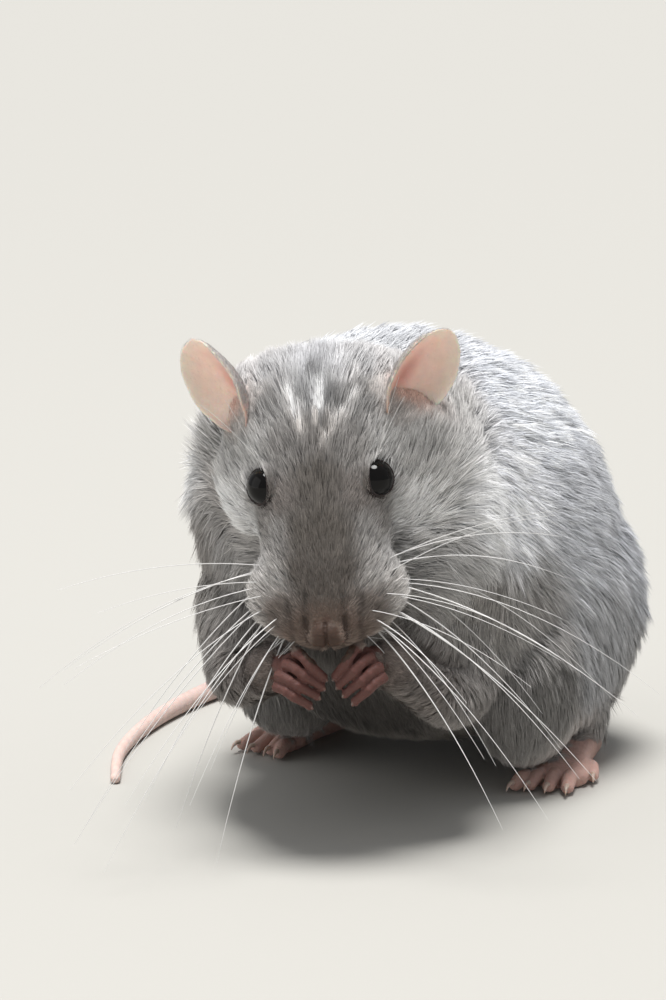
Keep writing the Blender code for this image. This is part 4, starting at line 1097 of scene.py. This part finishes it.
def lipWhisker(side, rng):
    ahead, out, up = rng.uniform(*lipHair["ahead"]), rng.uniform(*lipHair["out"]), rng.uniform(*lipHair["up"])
    heading = Vector((rng.uniform(-0.2, 0.9), side * 1.0, rng.uniform(-0.9, 0.1)))
    length = rng.uniform(*lipHair["lengths"])
    return hairLine(Vector((ahead, side * out, up)), heading, length, lipHair["root"], lipHair["sag"])


def browWhisker(side, k, rng):
    heading = Vector((-0.9 + 0.35 * k, side * rng.uniform(0.25, 0.6), 0.8))
    root = Vector((-2.5 - 2.5 * k, side * (11.5 + k), 4.4))
    return hairLine(root, heading, rng.uniform(*browHair["lengths"]), browHair["root"], browHair["sag"])


def whiskerPaths():
    rng = np.random.default_rng(whisker["seed"])
    hairs = []
    for side in bothSides:
        hairs.extend(padWhisker(side, lower, ahead, rng) for lower, ahead in whiskerShares())
        hairs.extend(lipWhisker(side, rng) for _ in range(lipHair["count"]))
        hairs.extend(browWhisker(side, k, rng) for k in range(browHair["count"]))
    return [(line, radii) for line, radii in hairs if min(p.z for p in line) > whisker["overFloor"]]


whiskers = sweepAlong("whiskers", whiskerPaths(), whiskerMaterial, 6)
paint(whiskers.data, "markingsAndShading", np.tile(whisker["colour"], (len(whiskers.data.vertices), 1)))
finishPiece(whiskers, whiskerMaterial)
print("whiskers set")

finishPiece(skin, skinMaterial, bareNodes + fleshNodes)

# thin overlapping tufts, rooted in the skin and drawn together into locks

coat = dict(seed=5, tufts=470000, rootTriangles=60000, pieceTufts=64000, finest=0.085, widthPerLength=0.0105,
            clumpShare=0.04, pull=(0.2, 0.65), roll=0.5, stray=0.08, turn=0.10, lengths=(0.72, 1.12),
            lifts=(0.75, 1.25), bareFrom=0.45, shorter=0.75, shades=(0.70, 0.95, 1.12), patch=0.003,
            silverShare=0.07, silverTone=1.35, noseGap=0.55)
# back edge, half breadth, middle height and half height of the face's and the head's pieces
pieceBoxes = dict(face=(-4, 24, 0, 24), head=(-26, 27, -4, 26))
# darker and brighter hair: the width of each mark and how much it changes the tone; paths in the head's axes
marks = dict(spot=(0.75, -0.45), stripe=(0.65, -0.50), blaze=(0.70, 1.7), streaks=(-15.0, 2.0, 9.0),
             stripes=(((24.0, 3.4, -0.8), (29.0, 3.9, -3.4)), ((24.5, 6.8, -2.5), (30.5, 6.2, -7.5))),
             blazes=(((-12.5, 6.5), (-3.5, 1.2)), ((-14.0, -4.4), (-6.0, -2.4)), ((-15.0, 1.8), (-8.0, 0.0))))


def rootSurface(source, triangles):
    copy = objectOf("roots", source.data.copy())
    thin(copy, triangles)
    bpy.context.view_layer.objects.active = copy
    copy.select_set(True)
    bpy.ops.object.mode_set(mode="EDIT")
    bpy.ops.mesh.select_all(action="SELECT")
    bpy.ops.uv.smart_project(angle_limit=math.radians(66), island_margin=0.004)
    bpy.ops.object.mode_set(mode="OBJECT")
    mesh = copy.data
    points, normals = vertexArrays(mesh)
    corners = np.empty(len(mesh.loops), int)
    mesh.loops.foreach_get("vertex_index", corners)
    flat = np.empty(len(mesh.loops) * 2)
    mesh.uv_layers.active.data.foreach_get("uv", flat)
    drop(copy)
    return points, normals, corners.reshape(-1, 3), flat.reshape(-1, 3, 2)


def eyeClear(points):  # false where a tuft would hide the eyeball
    local = placed(points, head.inverted())
    clear = np.ones(len(points), bool)
    for side in bothSides:
        share, far, _ = lidShare(local, side)
        clear &= ~((far < eye["radius"] + 0.10) | ((far < eye["radius"] + 4.0) & (share < 1.0)))
    return clear


def strandShape(roots, normals, lies, lengths, lifts, rng, clumpOf=None, pull=None):
    steps = [roots - normals * 0.12]
    for bend in (1.0, 0.30):
        way = lies * np.cos(lifts * bend)[:, None] + normals * np.sin(lifts * bend)[:, None]
        steps.append(steps[-1] + way * (lengths / 2)[:, None])
    steps = np.stack(steps, axis=1)
    across = unit(np.cross(lies, normals))
    sway = rng.normal(0, coat["stray"], (len(roots), 1)) * lengths[:, None]
    t = np.array((0.0, 0.5, 1.0))
    steps += across[:, None, :] * (sway * t**2)[:, :, None]
    if clumpOf is not None:
        gather = (steps[clumpOf, 2] - steps[:, 2]) * pull[:, None]
        steps += gather[:, None, :] * (t**1.4)[None, :, None]
    return steps


def strandMesh(name, steps, normals, widths, colours, uvs, rng):
    count = len(steps)
    along = unit(np.gradient(steps, axis=1))
    sideways = unit(np.cross(along[:, 1], normals))
    roll = rng.normal(0, coat["roll"], count)[:, None]
    facing = normals * np.cos(roll) + sideways * np.sin(roll)
    across = unit(np.cross(along, facing[:, None, :]))
    points = np.empty((count, 5, 3))
    for k, share in enumerate((0.8, 0.9)):
        half = across[:, k] * (widths * share / 2)[:, None]
        points[:, 2 * k] = steps[:, k] - half
        points[:, 2 * k + 1] = steps[:, k] + half
    points[:, 4] = steps[:, 2]
    points[:, :, 2] = np.maximum(points[:, :, 2], 0.05)
    pattern = np.array(((0, 1, 3), (0, 3, 2), (2, 3, 4)))
    corners = (np.arange(count)[:, None, None] * 5 + pattern[None]).reshape(-1)
    mesh = bpy.data.meshes.new(name)
    mesh.vertices.add(count * 5)
    mesh.vertices.foreach_set("co", (points * mm).ravel())
    mesh.loops.add(len(corners))
    mesh.loops.foreach_set("vertex_index", corners)
    mesh.polygons.add(len(corners) // 3)
    mesh.polygons.foreach_set("loop_start", np.arange(0, len(corners), 3))
    mesh.update(calc_edges=True)
    shades = np.repeat(coat["shades"], (2, 2, 1))
    paint(mesh, "markingsAndShading", np.clip(colours[:, None, :] * shades[None, :, None], 0, 0.95).reshape(-1, 3))
    corner = np.array(((0, 0), (1, 0), (0, 0.5), (1, 0.5), (0.5, 1))) * coat["patch"]
    spread = (uvs[:, None, :] + corner[None]).reshape(-1, 2)
    layer = mesh.uv_layers.new(name="OFBake")
    layer.data.foreach_set("uv", spread[corners].ravel())
    mesh.shade_smooth()
    return objectOf(name, mesh)


def areas(points, triangles):
    a, b, c = (points[triangles[:, k]] for k in range(3))
    return np.linalg.norm(np.cross(b - a, c - a), axis=1) / 2


def blend(values, weights):  # between the corners of each triangle
    return (values * (weights[:, :, None] if values.ndim > 2 else weights)).sum(axis=1)


def laidOn(lie, normal, turn, rng):  # turned a little at random and laid along the surface
    lie = lie + rng.normal(0, turn, lie.shape)
    return unit(lie - normal * (lie * normal).sum(axis=1, keepdims=True))


def coatRoots(rng):  # root, normal, lie, length, lift, colour and map place of every tuft
    points, normals, triangles, uvs = rootSurface(skin, coat["rootTriangles"])
    lies, lengths, lifts, colours = coatAt(points)
    bare = bareness(points, 0.6)
    lengths = lengths * (1 - coat["shorter"] * bare)
    covered = bare[triangles].mean(axis=1) < coat["bareFrom"]
    wanted = areas(points, triangles) * covered / (lengths[triangles].mean(axis=1) + 1.2) ** 0.75
    chosen = rng.choice(len(triangles), coat["tufts"], p=wanted / wanted.sum())
    u, v = rng.random((2, coat["tufts"]))
    over = u + v > 1
    u[over], v[over] = 1 - u[over], 1 - v[over]
    weights = np.stack([1 - u - v, u, v], axis=1)
    corners = triangles[chosen]
    roots, normal, lie, length, lift, colour = (
        blend(values[corners], weights) for values in (points, normals, lies, lengths, lifts, colours))
    normal = unit(normal)
    lie = laidOn(lie, normal, coat["turn"], rng)
    return roots, normal, lie, length, lift, colour, blend(uvs[chosen], weights)


def locksOf(roots, rng):  # the leading tufts, and the nearest of them to each tuft
    leaders = rng.choice(coat["tufts"], int(coat["tufts"] * coat["clumpShare"]), replace=False)
    tree = KDTree(len(leaders))
    for i, leader in enumerate(leaders):
        tree.insert(roots[leader], i)
    tree.balance()
    return leaders, np.array([tree.find(p)[1] for p in roots])


def marked(points, path, mark):  # how a mark along a path changes the tone at the points
    width, change = mark
    far = np.linalg.norm(points[:, None] - path[None], axis=2).min(axis=1)
    return change * np.exp(-(far / width) ** 2)


def markedTone(inHead):
    tone = np.ones(len(inHead))
    for side in bothSides:
        for lower, ahead in whiskerShares():
            tone *= 1.0 + marked(inHead, np.array([whiskerRoot(side, lower, ahead)]), marks["spot"])
        for start, end in marks["stripes"]:  # dark lines down the front of the muzzle
            line = np.linspace(start, end, 16)[:, :2] * (1, side)
            tone *= 1.0 + marked(inHead[:, :2], line, marks["stripe"]) * (inHead[:, 2] > -12)
    for start, end in marks["blazes"]:  # the bright locks on the forehead
        tone *= 1.0 + marked(inHead[:, :2], np.linspace(start, end, 24), marks["blaze"]) * (inHead[:, 2] > 0)
    return tone


def keptTufts(inHead, steps):  # none over an eye, a nostril or the nose's cleft
    front = np.flatnonzero(inHead[:, 0] > 24)
    onNose = np.zeros(len(steps), bool)
    for line in noseLines[:3]:
        for reach in range(3):
            far = np.linalg.norm(steps[front, reach][:, None] - line[0][None, ::2], axis=2).min(axis=1)
            onNose[front] |= far < coat["noseGap"]
    return ~onNose & eyeClear(steps[:, 2]) & eyeClear((steps[:, 1] + steps[:, 2]) / 2) & eyeClear(steps[:, 1])


def insideBox(inHead, back, breadth, middle, height):  # in a box of the head's, open in front
    return ((inHead[:, 0] > back) & (np.abs(inHead[:, 1]) < breadth)
            & (np.abs(inHead[:, 2] - middle) < height))


def coatGroups(inHead, roots):
    isFace = insideBox(inHead, *pieceBoxes["face"])
    isHead = ~isFace & insideBox(inHead, *pieceBoxes["head"])
    isBody, forward = ~isFace & ~isHead, roots[:, 1] - shift.y < 0
    groups = {"coatFace": isFace, "coatHead": isHead}
    for word, onSide in (("Left", roots[:, 0] > shift.x), ("Right", roots[:, 0] <= shift.x)):
        groups[f"coatFront{word}"] = isBody & onSide & forward
        groups[f"coatRear{word}"] = isBody & onSide & ~forward
    return groups


def growCoat():
    rng = np.random.default_rng(coat["seed"])
    roots, normal, lie, length, lift, colour, uv = coatRoots(rng)
    leaders, nearest = locksOf(roots, rng)
    inHead = placed(roots, head.inverted())
    streaky = np.exp(-(((inHead[leaders] - marks["streaks"]) / 10.0) ** 2).sum(axis=1))
    lockTone = (1.0 + rng.normal(0, 1, len(leaders)) * (0.08 + 0.22 * streaky) + 0.05 * streaky)[nearest]
    lockLength = rng.normal(1.0, 0.10, len(leaders))[nearest]
    grown = length * lockLength * rng.uniform(*coat["lengths"], len(length))
    pull = rng.uniform(*coat["pull"], len(length)) * smoothStep((length - 0.8) / 3.0)
    lift = lift * rng.uniform(*coat["lifts"], len(lift))
    steps = strandShape(roots, normal, lie, grown, lift, rng, leaders[nearest], pull)
    tone = lockTone * rng.normal(1.0, 0.10, len(lockTone)) * markedTone(inHead)
    tone[rng.random(len(tone)) < coat["silverShare"]] *= coat["silverTone"]
    colour = colour * tone[:, None]
    width = coat["finest"] + coat["widthPerLength"] * grown
    keep = keptTufts(inHead, steps)
    made = 0
    for name, member in coatGroups(inHead, roots).items():
        members = np.flatnonzero(member & keep)
        parts = max(1, math.ceil(len(members) / coat["pieceTufts"]))
        for k, part in enumerate(np.array_split(members, parts)):
            label = name if parts == 1 else f"{name}{k + 1}"
            piece = strandMesh(label, steps[part], normal[part], width[part], colour[part], uv[part], rng)
            finishPiece(piece, coatMaterial)
            made += len(part)
    print("coat", made, "tufts")


growCoat()

# short fine hair on the ears: close on the back, thick at the root and the inner edge, sparse inside

# each place of the ear has a length, a density and a colour
earHair = dict(seed=9, tufts=6500, triangles=5000, width=0.075, edge=-0.80, turn=0.18, lengths=(0.7, 1.15),
               lift=0.32, lifts=(0.6, 1.3), back=(1.3, 0.9, (0.40, 0.385, 0.375)),
               inside=(0.8, 0.10, (0.74, 0.66, 0.60)), root=(1.7, 2.0, (0.62, 0.58, 0.56)),
               rim=(0.7, 1.1, (0.78, 0.74, 0.70)))


def earHairAt(points, normals, side):  # length, density, colour and lie
    high, beside, isBack = onEar(points, normals, side)
    nearRoot = smoothStep((0.24 - high) / 0.24)
    nearEdge = smoothStep((earHair["edge"] + 0.25 - beside) / 0.25) * (1 - smoothStep((high - 0.75) / 0.2))
    shares = {"root": np.maximum(nearRoot, 0.8 * nearEdge)}
    shares["rim"] = (1 - shares["root"]) * smoothStep((np.hypot((high - 0.5) * 2, beside) - 0.93) / 0.08)
    shares["back"] = (1 - shares["root"] - shares["rim"]) * isBack
    shares["inside"] = 1 - shares["root"] - shares["rim"] - shares["back"]
    length, density = (sum(shares[name] * earHair[name][k] for name in shares) for k in (0, 1))
    colour = sum(shares[name][:, None] * np.array(earHair[name][2]) for name in shares)
    _, rise, _, across = (np.array(head.to_3x3() @ v) for v in earAxes(side))
    return length, density, colour, rise[None] + 0.5 * (beside * side)[:, None] * across[None]


def growEarHair():
    rng = np.random.default_rng(earHair["seed"])
    count = earHair["tufts"]
    found = []
    for side, word in ((1, "left"), (-1, "right")):
        points, normals, triangles, uvs = rootSurface(ears[word], earHair["triangles"])
        length, density, colour, outward = earHairAt(points, normals, side)
        wanted = areas(points, triangles) * density[triangles].mean(axis=1)
        chosen = rng.choice(len(triangles), count, p=wanted / wanted.sum())
        weights = rng.dirichlet((1.0, 1.0, 1.0), count)
        corners = triangles[chosen]
        roots, normal, lie, grown, tint = (
            blend(values[corners], weights) for values in (points, normals, outward, length, colour))
        normal = unit(normal)
        lie = laidOn(lie, normal, earHair["turn"], rng)
        grown = grown * rng.uniform(*earHair["lengths"], count)
        tint = tint * rng.normal(1.0, 0.10, (count, 1))
        lift = earHair["lift"] * rng.uniform(*earHair["lifts"], count)
        steps = strandShape(roots, normal, lie, grown, lift, rng)
        uv = blend(uvs[chosen], weights) * (0.49, 1.0) + (0.0 if side > 0 else 0.5, 0.0)  # half a map each
        found.append((steps, normal, np.full(count, earHair["width"]), tint, uv))
    steps, normal, width, tint, uv = (np.concatenate(rows) for rows in zip(*found))
    finishPiece(strandMesh("coatEars", steps, normal, width, tint, uv, rng), coatMaterial)


growEarHair()

# stage, lights and camera

stage = dict(floor=(0.45, 0.44, 0.412), reach=40.0, world=(0.95, 0.97, 1.0), worldLight=0.44,
             sun=dict(comesFrom=(0.035, -0.07, 1.0), strength=4.45, width=27.0, colour=(1.0, 0.99, 0.975)),
             front=dict(place=(-660, -720, 440), size=1000, power=2.3, colour=(1.0, 0.985, 0.96)))
target = head @ Vector((0, 0, 0))


def standing(name, data, place, away):  # a lamp or camera that looks against the direction "away"
    obj = bpy.data.objects.new(name, data)
    obj.location = place * mm
    obj.rotation_euler = (-away).to_track_quat("-Z", "Y").to_euler()
    bpy.context.scene.collection.objects.link(obj)
    return obj


def layFloor():
    mesh = bpy.data.meshes.new("floor")
    far = stage["reach"]
    mesh.from_pydata([(-far, -far, 0), (far, -far, 0), (far, far, 0), (-far, far, 0)], [], [(0, 1, 2, 3)])
    material, _, shader = newMaterial("floorPaint", 0.85, 0.2)
    shader.inputs["Base Color"].default_value = (*stage["floor"], 1)
    mesh.materials.append(material)
    objectOf("floor", mesh)


def lightScene():
    world = bpy.data.worlds.new("studio")
    bpy.context.scene.world = world
    world.use_nodes = True
    background = world.node_tree.nodes["Background"]
    background.inputs["Color"].default_value = (*stage["world"], 1)
    background.inputs["Strength"].default_value = stage["worldLight"]
    front, above = stage["front"], stage["sun"]
    lamp = bpy.data.lights.new("front", "AREA")
    lamp.size, lamp.energy, lamp.color = front["size"] * mm, front["power"], front["colour"]
    standing("front", lamp, Vector(front["place"]), Vector(front["place"]) - target)
    sun = bpy.data.lights.new("sun", "SUN")
    sun.energy, sun.angle, sun.color = above["strength"], math.radians(above["width"]), above["colour"]
    standing("sun", sun, Vector((0, 0, 0)), Vector(above["comesFrom"]))


def placeCamera():
    camera = bpy.data.cameras.new("camera")
    camera.lens, camera.sensor_width = shot["lens"], shot["sensor"]
    camera.shift_x, camera.shift_y = shot["shift"]
    camera.clip_start = shot["near"]
    away = towardsCamera()
    bpy.context.scene.camera = standing("camera", camera, target + away * shot["distance"], away)


layFloor()
lightScene()
placeCamera()
bpy.context.scene.view_settings.view_transform = "Standard"
print("stage set")
